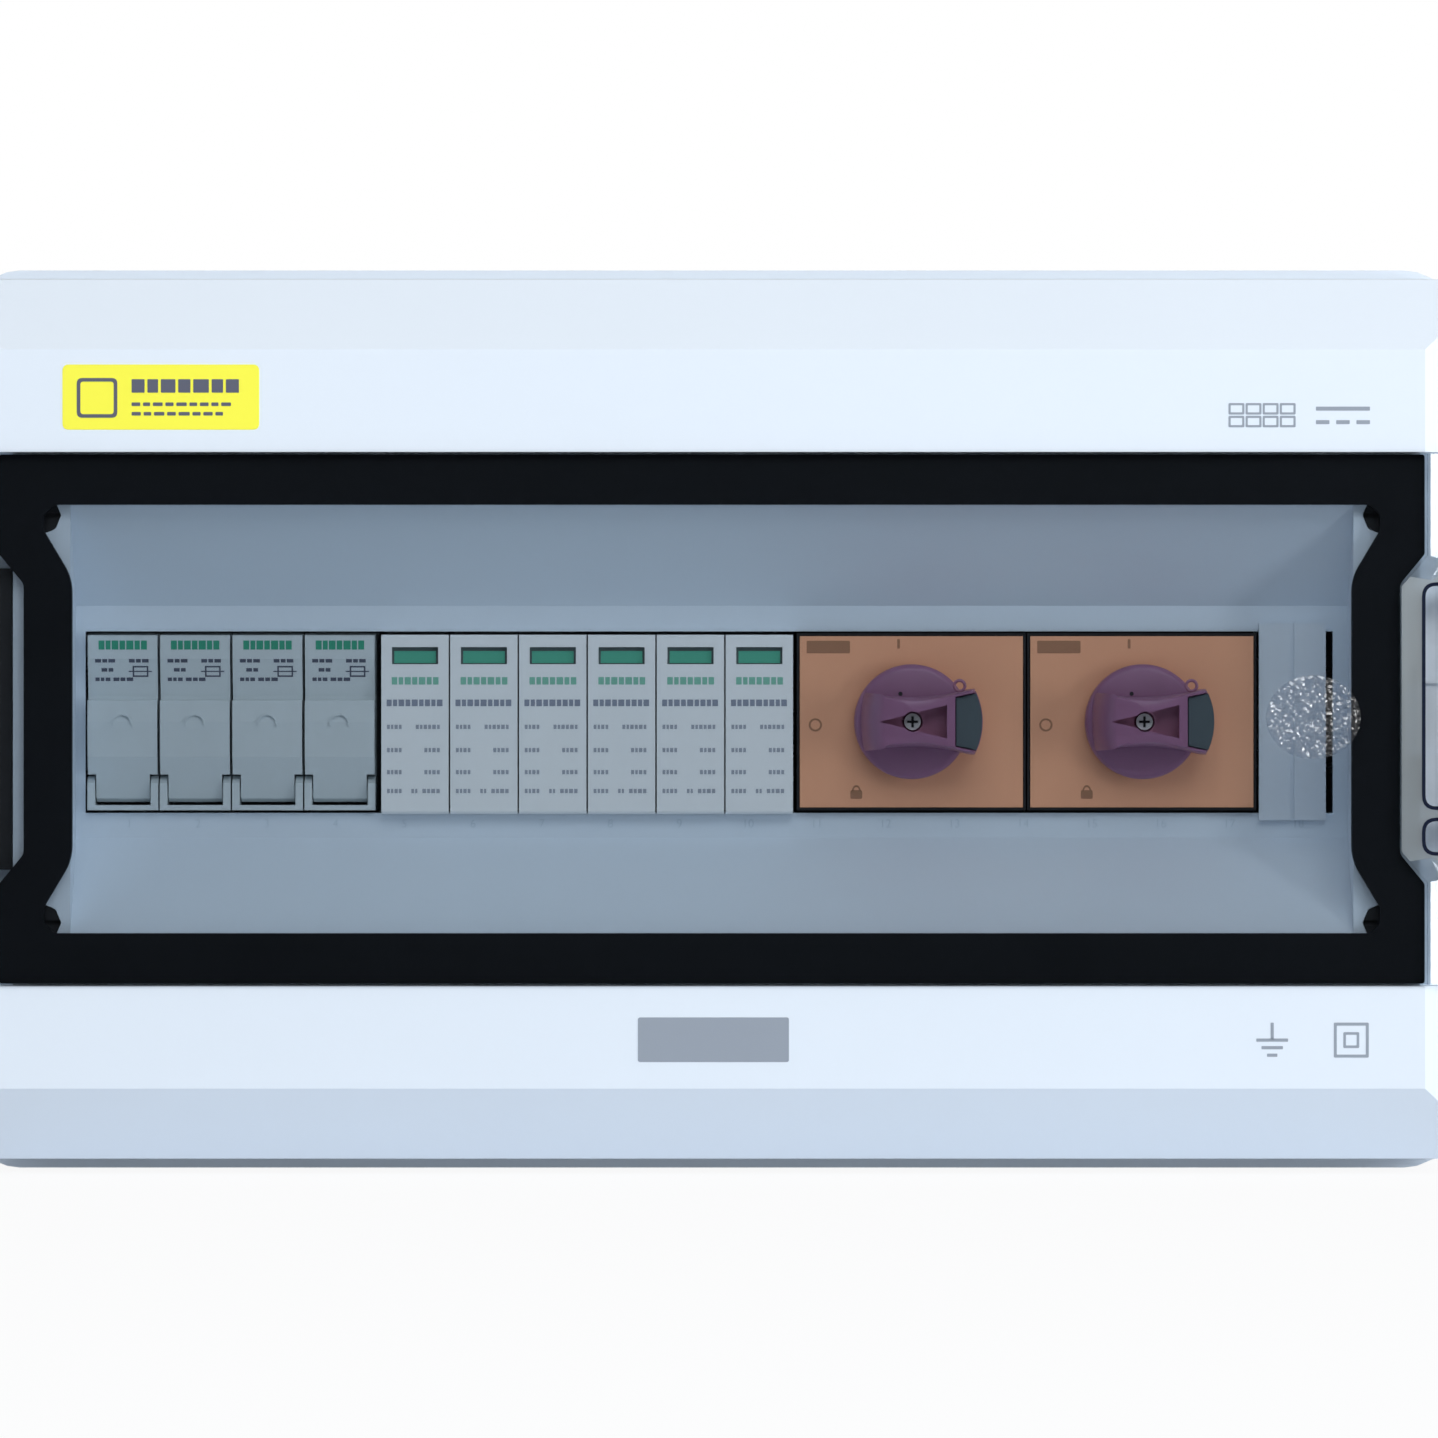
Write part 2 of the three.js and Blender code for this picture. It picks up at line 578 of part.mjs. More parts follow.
function earthBarHolder() {
  const foot = block([-BAR_HALF_LENGTH - 4, BAR_HALF_LENGTH + 4], [FLOOR + GAP, HOLDER_FRONT],
    [BAR_Z - PILLAR_HALF - 1, BAR_Z + PILLAR_HALF + 1]);
  const pillars = [-PILLAR_X, PILLAR_X].map((x) =>
    block([x - PILLAR_HALF, x + PILLAR_HALF], [HOLDER_FRONT - 1, BAR_BACK - GAP],
      [BAR_Z - PILLAR_HALF, BAR_Z + PILLAR_HALF]));
  return joined([foot, ...pillars]);
}

// ---------------------------------------------------------------- rail-mounted devices

// Side outline of a device: hooks round the rail's lips, two shoulders and a narrower nose.
function deviceOutline(half, shoulder, nose, noseHalf) {
  return mirrored([
    ...railHook(),
    [HOOK_BACK, half],
    [shoulder - 4, half],
    [shoulder, half - 5],
    [shoulder, noseHalf],
    [nose, noseHalf],
  ]);
}

// The edge that reaches over the rail's upper lip.
function railHook() {
  const lip = RAIL_LIP + 0.4;
  const behind = RAIL_FRONT - 1 - GAP;
  return [[DEVICE_BACK, lip], [behind, lip], [behind, HOOK_HALF], [HOOK_BACK, HOOK_HALF]];
}

function terminalHoles(xs, z, shoulder) {
  const hole = (x, height) =>
    alongDepth(disc(x, height, TERMINAL_RADIUS), shoulder - TERMINAL_DEPTH, shoulder + 1, 3);
  return xs.flatMap((x) => [hole(x, z), hole(x, -z)]);
}

function fuseBody() {
  const half = FUSE_PITCH / 2 - SIDE_GAP;
  const nose = CARRIER_PIVOT_D - CARRIER_END_RADIUS + 0.2;
  const hull = alongX(deviceOutline(FUSE_HALF, FUSE_SHOULDER, nose, NOSE_HALF), -half, half);
  const cheeks = alongX(outline([
    [nose - 8, -NOSE_HALF],
    [nose - 8, CHEEK_TOP],
    [CHEEK_CHAMFER_D, CHEEK_TOP],
    [CHEEK_FRONT, CHEEK_CHAMFER_Z],
    [CHEEK_FRONT, -NOSE_HALF],
  ]), -half, half);
  const cavity = block([-CARRIER_END_HALF - GAP, CARRIER_END_HALF + GAP], [FUSE_SHOULDER + 4, 90],
    [CARRIER_PIVOT_Z - CARRIER_END_RADIUS - 0.8, NOSE_HALF - 0.9]);
  const trunnionHole = alongX(disc(CARRIER_PIVOT_D, CARRIER_PIVOT_Z, TRUNNION_RADIUS + RUNNING),
    -TRUNNION_END - GAP, TRUNNION_END + GAP, 4);
  const terminals = terminalHoles([0], FUSE_TERMINAL_Z, FUSE_SHOULDER);
  return without(hull.add(cheeks), [cavity, trunnionHole, ...terminals]);
}

function fuseCarrier() {
  const upper = alongX(outline(CARRIER_SIDE), -CARRIER_HALF, CARRIER_HALF)
    .intersect(block([-20, 20], [70, 90], [CARRIER_SHOULDER_Z, 30]));
  const lower = alongX(outline(CARRIER_SIDE), -CARRIER_END_HALF, CARRIER_END_HALF);
  const clips = CLIP_SPANS.map((span) =>
    block([-CLIP_HALF, CLIP_HALF], [LINK_D - 4, CARRIER_PIVOT_D], span));
  const bore = alongZ(disc(0, LINK_D, LINK_RADIUS + GAP), LINK_BOTTOM - GAP, LINK_TOP + GAP, 6);
  const pivot = disc(CARRIER_PIVOT_D, CARRIER_PIVOT_Z, TRUNNION_RADIUS);
  const trunnions = alongX(pivot, -TRUNNION_END, TRUNNION_END, 4);
  return joined([upper, lower, ...clips, trunnions]).subtract(bore);
}

function fuseLink() {
  return alongZ(disc(0, LINK_D, LINK_RADIUS), LINK_BOTTOM, LINK_TOP, 6);
}

function surgeBase() {
  const half = (POLES * SURGE_PITCH) / 2 - SIDE_GAP;
  const inner = CARTRIDGE_TOP + 0.8;
  const hull = alongX(mirrored([
    ...railHook(),
    [HOOK_BACK, SURGE_HALF],
    [SURGE_SHOULDER - 4, SURGE_HALF],
    [SURGE_SHOULDER, SURGE_HALF - 5],
    [SURGE_SHOULDER, inner],
    [SURGE_TROUGH, inner],
  ]), -half, half);
  const middles = [-1, 0, 1].map((pole) => pole * SURGE_PITCH);
  const slots = middles.flatMap((x) => [BLADE_Z, -BLADE_Z].map((z) =>
    block([x - 1.2, x + 1.2], [SURGE_TROUGH - 9, SURGE_TROUGH + 1], [z - 3.6, z + 3.6])));
  return without(hull, [...slots, ...terminalHoles(middles, SURGE_TERMINAL_Z, SURGE_SHOULDER)]);
}

function surgeCartridge() {
  const half = SURGE_PITCH / 2 - SIDE_GAP;
  const back = SURGE_TROUGH + 0.4;
  const hull = alongX(outline([
    [back, -CARTRIDGE_TOP],
    [back, CARTRIDGE_TOP],
    [CARTRIDGE_FRONT - 0.6, CARTRIDGE_TOP],
    [CARTRIDGE_FRONT, CARTRIDGE_TOP - 0.6],
    [CARTRIDGE_FRONT, CARTRIDGE_LIP + 0.6],
    [CARTRIDGE_FRONT - 0.6, CARTRIDGE_LIP],
    [LIP_BACK, CARTRIDGE_LIP],
    [LIP_BACK, -CARTRIDGE_TOP],
  ]), -half, half);
  const blades = [BLADE_Z, -BLADE_Z].map((z) =>
    block([-0.8, 0.8], [SURGE_TROUGH - 7, SURGE_TROUGH + 1], [z - 3.2, z + 3.2]));
  const flagWindow = block([-FLAG_WINDOW_HALF, FLAG_WINDOW_HALF], [FLAG_WINDOW_FLOOR, 90], FLAG_WINDOW);
  return joined([hull, ...blades]).subtract(flagWindow);
}

function switchBody() {
  const half = SWITCH_WIDTH / 2;
  const hull = alongX(deviceOutline(SWITCH_HALF, SWITCH_SHOULDER, FRAME_LEVEL, NOSE_HALF), -half, half);
  const inside = NOSE_HALF - FRAME;
  const pocket = block([-half + FRAME, half - FRAME], [PLATE_BACK, 90], [-inside, inside]);
  const shaftHole = alongDepth(disc(0, 0, SHAFT_BORE), SWITCH_SHOULDER - 5, PLATE_BACK + 1);
  const terminals = terminalHoles(SWITCH_TERMINALS, SWITCH_TERMINAL_Z, SWITCH_SHOULDER);
  return without(hull, [pocket, shaftHole, ...terminals]);
}

function switchPlate() {
  const halfX = SWITCH_WIDTH / 2 - FRAME - SIDE_GAP;
  const halfZ = NOSE_HALF - FRAME - SIDE_GAP;
  const plate = block([-halfX, halfX], [PLATE_BACK + GAP, PLATE_FRONT], [-halfZ, halfZ]);
  return plate.subtract(alongDepth(disc(0, 0, SHAFT_BORE), PLATE_BACK - 1, PLATE_FRONT + 1));
}

function switchShaft() {
  return alongDepth(disc(0, 0, SHAFT_RADIUS), SWITCH_SHOULDER - 4, CHANNEL_FLOOR - 1, 6);
}

function knob() {
  const dial = alongDepth(disc(0, 0, KNOB_RADIUS), KNOB_BACK, KNOB_DISC_FRONT, 16);
  const turn = Math.asin(GRIP_RIGHT_HALF / GRIP_REACH);
  const grip = new THREE.Shape();
  grip.moveTo(GRIP_LEFT, GRIP_LEFT_HALF);
  grip.quadraticCurveTo(...GRIP_WAIST, GRIP_RIGHT, GRIP_RIGHT_HALF);
  grip.absarc(0, 0, GRIP_REACH, turn, -turn, true);
  grip.quadraticCurveTo(GRIP_WAIST[0], -GRIP_WAIST[1], GRIP_LEFT, -GRIP_LEFT_HALF);
  grip.quadraticCurveTo(GRIP_LEFT - 2, 0, GRIP_LEFT, GRIP_LEFT_HALF);
  const ridge = alongDepth(grip, KNOB_DISC_FRONT - 1, KNOB_FRONT, 5);
  const channel = alongDepth(outline(CHANNEL), CHANNEL_FLOOR, KNOB_FRONT + 1);
  const screwWell = alongDepth(disc(0, 0, KNOB_SCREW_RADIUS + 0.5), CHANNEL_FLOOR - GAP, KNOB_FRONT + 1);
  const sliderSlot = alongDepth(outline([
    [SLIDER_LEFT - GAP, SLIDER_LEFT_HALF + GAP],
    [SLIDER_RIGHT, SLIDER_RIGHT_HALF + GAP],
    [KNOB_RADIUS + 8, SLIDER_RIGHT_HALF + GAP],
    [KNOB_RADIUS + 8, -SLIDER_RIGHT_HALF - GAP],
    [SLIDER_RIGHT, -SLIDER_RIGHT_HALF - GAP],
    [SLIDER_LEFT - GAP, -SLIDER_LEFT_HALF - GAP],
  ]), SLIDER_BACK - GAP, KNOB_FRONT + 1);
  const shaftBore = alongDepth(disc(0, 0, SHAFT_BORE), KNOB_BACK - 1, CHANNEL_FLOOR - 0.7);
  return without(dial.add(ridge), [channel, screwWell, sliderSlot, shaftBore]);
}

function knobScrew() {
  const front = CHANNEL_FLOOR + 2;
  const head = alongDepth(disc(0, 0, KNOB_SCREW_RADIUS), CHANNEL_FLOOR, front, 8);
  const cross = [[1.5, 0.35], [0.35, 1.5]].map(([x, z]) =>
    block([-x, x], [front - 0.9, front + 1], [-z, z]));
  return without(head, cross);
}

function lockSlider() {
  const reach = GRIP_REACH - 0.5;
  const turn = Math.asin(SLIDER_RIGHT_HALF / reach);
  const end = new THREE.Shape();
  end.moveTo(SLIDER_LEFT, -SLIDER_LEFT_HALF);
  end.lineTo(SLIDER_LEFT, SLIDER_LEFT_HALF);
  end.absarc(0, 0, reach, turn, -turn, true);
  end.closePath();
  return alongDepth(end, SLIDER_BACK, KNOB_FRONT - 1.2, 4);
}

function blankingStrip() {
  const half = BLANK_WIDTH / 2;
  const front = PANEL + BLANK_THICKNESS;
  const plate = block([-half, half], [PANEL + GAP, front], [-BLANK_HALF_HEIGHT, BLANK_HALF_HEIGHT]);
  const clip = block([-half + 1, half - 1], [PANEL - 6, PANEL + 1], [-NOSE_HALF, NOSE_HALF]);
  const hollowZ = NOSE_HALF - 1.2;
  const hollow = block([-half + 2.2, half - 2.2], [PANEL - 8, PANEL + 0.5], [-hollowZ, hollowZ]);
  const groove = block([-0.5, 0.5], [front - 0.8, front + 1],
    [-BLANK_HALF_HEIGHT - 1, BLANK_HALF_HEIGHT + 1]);
  return without(plate.add(clip), [hollow, groove]);
}

// ---------------------------------------------------------------- wiring

// An arch of wire between two upper terminals, standing straight up out of each one.
function archWire(x0, z0, x1, z1, crown) {
  const bend = Math.min(WIRE_BEND, (x1 - x0) / 2 - 0.1);
  const path = new THREE.CurvePath();
  const at = (x, z) => new THREE.Vector3(x, -WIRE_D, z);
  path.add(new THREE.LineCurve3(at(x0, z0), at(x0, crown - bend)));
  path.add(new THREE.QuadraticBezierCurve3(at(x0, crown - bend), at(x0, crown), at(x0 + bend, crown)));
  path.add(new THREE.LineCurve3(at(x0 + bend, crown), at(x1 - bend, crown)));
  path.add(new THREE.QuadraticBezierCurve3(at(x1 - bend, crown), at(x1, crown), at(x1, crown - bend)));
  path.add(new THREE.LineCurve3(at(x1, crown - bend), at(x1, z1)));
  const section = new THREE.Shape().absarc(0, 0, WIRE_RADIUS, 0, 2 * Math.PI);
  const steps = Math.round(path.getLength() / 6);
  return toSolid(new THREE.ExtrudeGeometry(section, { steps, curveSegments: 3, extrudePath: path }));
}

// ---------------------------------------------------------------- assembly

const fuseX = (i) => ROW_LEFT + (i + 0.5) * FUSE_PITCH;
const poleX = (i) => SURGE_LEFT + (i + 0.5) * SURGE_PITCH;
const switchX = (i) => SWITCH_LEFT + (i + 0.5) * SWITCH_PITCH;

addPiece('base_shell', baseShell(), materials.white);
addPiece('cover_seal', sealRing(0, SEAM - SEAL_DEPTH, SEAM), materials.rubber);
addPiece('front_cover', frontCover(), materials.white);
atFourCorners(SCREW_X, SCREW_Z, coverScrew).forEach((screw, i) =>
  addPiece(`cover_screw_${i + 1}`, screw, materials.blackPlastic));
addPiece('door', doorPanel(), materials.clear);
addPiece('door_gasket', doorGasket(), materials.rubber);
addPiece('hinge_bracket', hingeBracket(), materials.blackPlastic);
addPiece('hinge_pin', hingePin(), materials.steel);
addPiece('earth_bar', earthBar(), materials.brass);
addPiece('earth_bar_holder', earthBarHolder(), materials.blackPlastic);

addPiece('din_rail', dinRail(), materials.steel, 0, ROW_Z);
addPiece('rail_screw_left', railScrew(-RAIL_SCREW_X), materials.steel, 0, ROW_Z);
addPiece('rail_screw_right', railScrew(RAIL_SCREW_X), materials.steel, 0, ROW_Z);

for (let i = 0; i < FUSE_COUNT; i += 1) {
  addPiece(`fuse_body_${i + 1}`, fuseBody(), materials.greyPlastic, fuseX(i), ROW_Z);
  addPiece(`fuse_carrier_${i + 1}`, fuseCarrier(), materials.greyPlastic, fuseX(i), ROW_Z);
  addPiece(`fuse_link_${i + 1}`, fuseLink(), materials.ceramic, fuseX(i), ROW_Z);
}

for (let i = 0; i < SURGE_COUNT; i += 1) {
  addPiece(`surge_base_${i + 1}`, surgeBase(), materials.paleGrey, poleX(1 + POLES * i), ROW_Z);
}

for (let i = 0; i < SURGE_COUNT * POLES; i += 1) {
  addPiece(`surge_cartridge_${i + 1}`, surgeCartridge(), materials.paleGrey, poleX(i), ROW_Z);
}

for (let i = 0; i < SWITCH_COUNT; i += 1) {
  addPiece(`switch_body_${i + 1}`, switchBody(), materials.blackPlastic, switchX(i), ROW_Z);
  addPiece(`switch_plate_${i + 1}`, switchPlate(), materials.orange, switchX(i), ROW_Z);
  addPiece(`switch_shaft_${i + 1}`, switchShaft(), materials.steel, switchX(i), ROW_Z);
  addPiece(`switch_knob_${i + 1}`, knob(), materials.maroon, switchX(i), ROW_Z);
  addPiece(`knob_screw_${i + 1}`, knobScrew(), materials.steel, switchX(i), ROW_Z);
  addPiece(`lock_slider_${i + 1}`, lockSlider(), materials.slate, switchX(i), ROW_Z);
}

addPiece('blanking_strip', blankingStrip(), materials.white, BLANK_LEFT + BLANK_WIDTH / 2, ROW_Z);

// Each fuse feeds a surge protector pole, the nearest pair under the lowest arch.
for (let i = 0; i < FUSE_COUNT; i += 1) {
  const crown = LINK_CROWN - LINK_CROWN_STEP * i;
  const wire = archWire(fuseX(i), FUSE_HALF + GAP, poleX(FUSE_COUNT - 1 - i), SURGE_HALF + GAP, crown);
  addPiece(`link_wire_${i + 1}`, wire, materials.redWire, 0, ROW_Z);
}

for (let i = 0; i < SWITCH_COUNT; i += 1) {
  const from = poleX(SURGE_COUNT * POLES - 1 - i);
  const to = switchX(i) + FEED_TERMINAL_X;
  const wire = archWire(from, SURGE_HALF + GAP, to, SWITCH_HALF + GAP, FEED_CROWNS[i]);
  addPiece(`feed_wire_${i + 1}`, wire, materials.redWire, 0, ROW_Z);
}

export default box;
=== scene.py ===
import math
import random

import bmesh
import bpy
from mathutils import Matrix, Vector
from mathutils.geometry import delaunay_2d_cdt


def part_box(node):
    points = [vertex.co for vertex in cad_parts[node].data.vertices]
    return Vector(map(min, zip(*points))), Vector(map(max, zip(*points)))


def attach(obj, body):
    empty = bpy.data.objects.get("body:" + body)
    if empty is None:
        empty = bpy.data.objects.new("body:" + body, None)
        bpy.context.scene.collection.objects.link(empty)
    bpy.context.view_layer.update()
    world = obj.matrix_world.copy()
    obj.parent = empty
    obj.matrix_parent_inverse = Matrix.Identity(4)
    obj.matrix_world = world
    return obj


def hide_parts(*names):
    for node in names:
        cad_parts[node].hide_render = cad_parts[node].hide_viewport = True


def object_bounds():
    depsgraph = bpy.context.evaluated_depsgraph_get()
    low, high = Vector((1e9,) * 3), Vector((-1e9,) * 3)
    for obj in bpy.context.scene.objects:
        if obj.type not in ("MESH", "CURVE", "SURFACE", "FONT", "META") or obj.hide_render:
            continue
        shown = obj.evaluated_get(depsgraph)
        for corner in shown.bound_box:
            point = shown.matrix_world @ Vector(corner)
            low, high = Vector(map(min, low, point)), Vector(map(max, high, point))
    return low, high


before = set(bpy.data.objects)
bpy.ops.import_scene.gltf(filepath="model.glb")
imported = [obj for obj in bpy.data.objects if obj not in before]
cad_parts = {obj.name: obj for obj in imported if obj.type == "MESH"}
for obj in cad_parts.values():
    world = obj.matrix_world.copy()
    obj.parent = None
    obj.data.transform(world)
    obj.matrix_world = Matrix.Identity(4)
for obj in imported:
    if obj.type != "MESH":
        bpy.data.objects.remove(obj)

CAD_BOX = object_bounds()
MM = 0.001


# ------------------------------------------------------------------ the frame, in millimetres

def point(x, d, z):
    """A place in metres, from millimetres right, in front of the wall and up."""
    return Vector((x * MM, -d * MM, z * MM))


def span(node):
    """The lowest and highest x, d and z of a CAD node, in millimetres."""
    low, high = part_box(node)
    return (low.x / MM, high.x / MM), (-high.y / MM, -low.y / MM), (low.z / MM, high.z / MM)


def middle(node):
    (x0, x1), _, _ = span(node)
    return (x0 + x1) / 2


(DOOR_X0, DOOR_X1), (_, DOOR_FRONT), (DOOR_Z0, DOOR_Z1) = span("door")
_, (GASKET_BACK, GASKET_FRONT), _ = span("door_gasket")
_, (_, COVER_FRONT), _ = span("front_cover")
_, (_, PLATE_FRONT), (PLATE_LOW, PLATE_HIGH) = span("switch_plate_1")
_, (_, CARTRIDGE_FRONT), _ = span("surge_cartridge_1")
_, (KNOB_BACK, KNOB_FRONT), _ = span("switch_knob_1")
(PIN_X0, PIN_X1), (PIN_D0, PIN_D1), (_, PIN_Z1) = span("hinge_pin")
_, _, (_, BRACKET_Z1) = span("hinge_bracket")
ROW_Z = (PLATE_LOW + PLATE_HIGH) / 2

# The flat panel round the devices, and the opening in it, as the front cover has them.
PANEL_FRONT = 82.0
CUT_OUT_X = (-159.4, 158.0)
CUT_OUT_Z = (ROW_Z - 23.2, ROW_Z + 23.0)

# The width of one device module on the rail.
MODULE = 17.5


# ------------------------------------------------------------------ materials

# Most of a noise's values lie in this range.
NOISE_RANGE = (0.3, 0.7)

# The share of a clear sheet that mirrors when it is seen edge on, and how fast that share falls.
EDGE_ON_GLOSS = 0.9
GLOSS_FALLOFF = 5


def new_material(name):
    material = bpy.data.materials.new(name)
    material.use_nodes = True
    tree = material.node_tree
    return material, tree.nodes, tree.links, tree.nodes["Principled BSDF"]


def surface_noise(nodes, links, scale, detail=3.0, stretch=None):
    coordinates = nodes.new("ShaderNodeTexCoord")
    noise = nodes.new("ShaderNodeTexNoise")
    noise.inputs["Scale"].default_value = scale
    noise.inputs["Detail"].default_value = detail
    source = coordinates.outputs["Object"]
    if stretch:
        mapping = nodes.new("ShaderNodeMapping")
        mapping.inputs["Scale"].default_value = stretch
        links.new(source, mapping.inputs["Vector"])
        source = mapping.outputs["Vector"]
    links.new(source, noise.inputs["Vector"])
    return noise.outputs["Fac"]


def spread(nodes, links, source, low, high, source_range=NOISE_RANGE):
    """Maps the source's range to low..high."""
    node = nodes.new("ShaderNodeMapRange")
    node.inputs["From Min"].default_value = source_range[0]
    node.inputs["From Max"].default_value = source_range[1]
    node.inputs["To Min"].default_value = low
    node.inputs["To Max"].default_value = high
    links.new(source, node.inputs["Value"])
    return node.outputs["Result"]


def tinted(nodes, links, source, color, shift):
    """The colour, a little darker and lighter from place to place."""
    mix = nodes.new("ShaderNodeMix")
    mix.data_type = "RGBA"
    mix.inputs["A"].default_value = (*[c * (1 - shift) for c in color], 1)
    mix.inputs["B"].default_value = (*[min(1, c * (1 + shift)) for c in color], 1)
    links.new(source, mix.inputs["Factor"])
    return mix.outputs["Result"]


def bumped(nodes, links, height, strength, distance):
    bump = nodes.new("ShaderNodeBump")
    bump.inputs["Strength"].default_value = strength
    bump.inputs["Distance"].default_value = distance
    links.new(height, bump.inputs["Height"])
    return bump.outputs["Normal"]


def moulded(name, color, roughness, grain=2600, bump=0.25, shift=0.03, specular=0.5):
    """Moulded plastic: a fine spark-eroded grain, with slow changes of colour and gloss."""
    material, nodes, links, shader = new_material(name)
    slow = surface_noise(nodes, links, 14)
    fine = surface_noise(nodes, links, grain, 2)
    links.new(tinted(nodes, links, slow, color, shift), shader.inputs["Base Color"])
    links.new(spread(nodes, links, fine, roughness - 0.06, roughness + 0.06), shader.inputs["Roughness"])
    links.new(bumped(nodes, links, fine, bump, 0.00008), shader.inputs["Normal"])
    shader.inputs["Specular IOR Level"].default_value = specular
    return material


def rubber(name, color):
    material, nodes, links, shader = new_material(name)
    fine = surface_noise(nodes, links, 1500, 4)
    slow = surface_noise(nodes, links, 30)
    links.new(tinted(nodes, links, slow, color, 0.2), shader.inputs["Base Color"])
    links.new(spread(nodes, links, slow, 0.5, 0.68), shader.inputs["Roughness"])
    links.new(bumped(nodes, links, fine, 0.3, 0.0001), shader.inputs["Normal"])
    shader.inputs["Specular IOR Level"].default_value = 0.2
    return material


def metal(name, color, roughness, stretch=(30, 30, 900)):
    material, nodes, links, shader = new_material(name)
    brushed = surface_noise(nodes, links, 2, 3, stretch)
    shader.inputs["Metallic"].default_value = 1
    links.new(tinted(nodes, links, brushed, color, 0.06), shader.inputs["Base Color"])
    links.new(spread(nodes, links, brushed, roughness - 0.07, roughness + 0.08), shader.inputs["Roughness"])
    links.new(bumped(nodes, links, brushed, 0.15, 0.00005), shader.inputs["Normal"])
    return material


def clear_sheet(name, tint, roughness, least=0.04, sheen=(1, 1, 1)):
    """Clear smoked plastic in a thin sheet, faintly scratched, that mirrors more when seen edge on."""
    material, nodes, links, shader = new_material(name)
    nodes.remove(shader)
    output = nodes["Material Output"]
    through = nodes.new("ShaderNodeBsdfTransparent")
    through.inputs["Color"].default_value = (*tint, 1)
    gloss = nodes.new("ShaderNodeBsdfGlossy")
    gloss.inputs["Color"].default_value = (*sheen, 1)
    scratches = surface_noise(nodes, links, 9, 5)
    links.new(spread(nodes, links, scratches, roughness, roughness + 0.06), gloss.inputs["Roughness"])
    facing = nodes.new("ShaderNodeLayerWeight")
    facing.inputs["Blend"].default_value = 0.5
    steep = nodes.new("ShaderNodeMath")
    steep.operation = "POWER"
    steep.inputs[1].default_value = GLOSS_FALLOFF
    links.new(facing.outputs["Facing"], steep.inputs[0])
    share = nodes.new("ShaderNodeMapRange")
    share.inputs["To Min"].default_value = least
    share.inputs["To Max"].default_value = EDGE_ON_GLOSS
    links.new(steep.outputs["Value"], share.inputs["Value"])
    mix = nodes.new("ShaderNodeMixShader")
    links.new(share.outputs["Result"], mix.inputs["Fac"])
    links.new(through.outputs["BSDF"], mix.inputs[1])
    links.new(gloss.outputs["BSDF"], mix.inputs[2])
    links.new(mix.outputs["Shader"], output.inputs["Surface"])
    return material


def glassy(name, color, roughness, transmission=1.0, grain=700):
    """The moulded edge of a clear sheet, and frosted relief on it."""
    material, nodes, links, shader = new_material(name)
    fine = surface_noise(nodes, links, grain)
    shader.inputs["Transmission Weight"].default_value = transmission
    shader.inputs["IOR"].default_value = 1.46
    shader.inputs["Base Color"].default_value = (*color, 1)
    links.new(spread(nodes, links, fine, roughness, roughness + 0.05), shader.inputs["Roughness"])
    return material


WHITE = moulded("white_moulding", (0.78, 0.86, 0.95), 0.36, shift=0.012, bump=0.15)
NUMBER_GREY = moulded("number_relief", (0.64, 0.72, 0.81), 0.4, shift=0.02)
GREY = moulded("device_grey", (0.67, 0.73, 0.755), 0.42)
PALE = moulded("surge_grey", (0.96, 0.98, 1.0), 0.48, shift=0.02)
BLACK = moulded("black_moulding", (0.012, 0.013, 0.017), 0.45)
ORANGE = moulded("orange_plate", (0.94, 0.45, 0.26), 0.4, shift=0.03)
MAROON = moulded("knob_maroon", (0.32, 0.14, 0.255), 0.36, bump=0.2)
# Painted shade: a second maroon for the faces inside the knob's cuts and for the padlock eye, standing in
# for the shade there.
MAROON_PAINTED_SHADE = moulded("knob_painted_shade", (0.37, 0.15, 0.24), 0.4, bump=0.2)
STRIP_GREY = moulded("strip_grey", (0.76, 0.82, 0.89), 0.46)
SLATE = moulded("slider_slate", (0.075, 0.10, 0.115), 0.5)
RUBBER = rubber("black_rubber", (0.0055, 0.007, 0.0105))
SEAL = rubber("grey_foam_seal", (0.62, 0.68, 0.75))
CERAMIC = moulded("link_ceramic", (0.8, 0.78, 0.72), 0.55)
RED_WIRE = moulded("wire_insulation", (0.42, 0.03, 0.02), 0.4)
STEEL = metal("zinc_steel", (0.62, 0.63, 0.64), 0.3)
BRIGHT_STEEL = metal("bright_screw", (0.95, 0.95, 0.97), 0.42)
BRASS = metal("brass", (0.66, 0.46, 0.2), 0.3)
PRINT = moulded("dark_print", (0.10, 0.11, 0.16), 0.5, shift=0.1)
PRINT_PALE = moulded("grey_print", (0.40, 0.43, 0.50), 0.5, shift=0.06)
PRINT_MID = moulded("title_print", (0.30, 0.33, 0.42), 0.5, shift=0.06)
GREEN = moulded("green_print", (0.05, 0.38, 0.24), 0.4, shift=0.06)
GREEN_PALE = moulded("pale_green_print", (0.26, 0.60, 0.46), 0.4, shift=0.06)
# Painted shade: a dark plate behind each surge flag, for the shade in the flag's window.
FLAG_PAINTED_SHADE = moulded("surge_window_painted_shade", (0.10, 0.13, 0.13), 0.6)
FLAG = moulded("green_flag", (0.10, 0.46, 0.32), 0.35, shift=0.05)
BROWN = moulded("brown_print", (0.42, 0.20, 0.11), 0.5, shift=0.08)
YELLOW = moulded("yellow_sticker", (1.0, 0.96, 0.075), 0.35, shift=0.02)
BADGE = moulded("grey_badge", (0.31, 0.355, 0.42), 0.35, shift=0.04)
CLEAR = clear_sheet("clear_door", (0.797, 0.824, 0.845), 0.02)
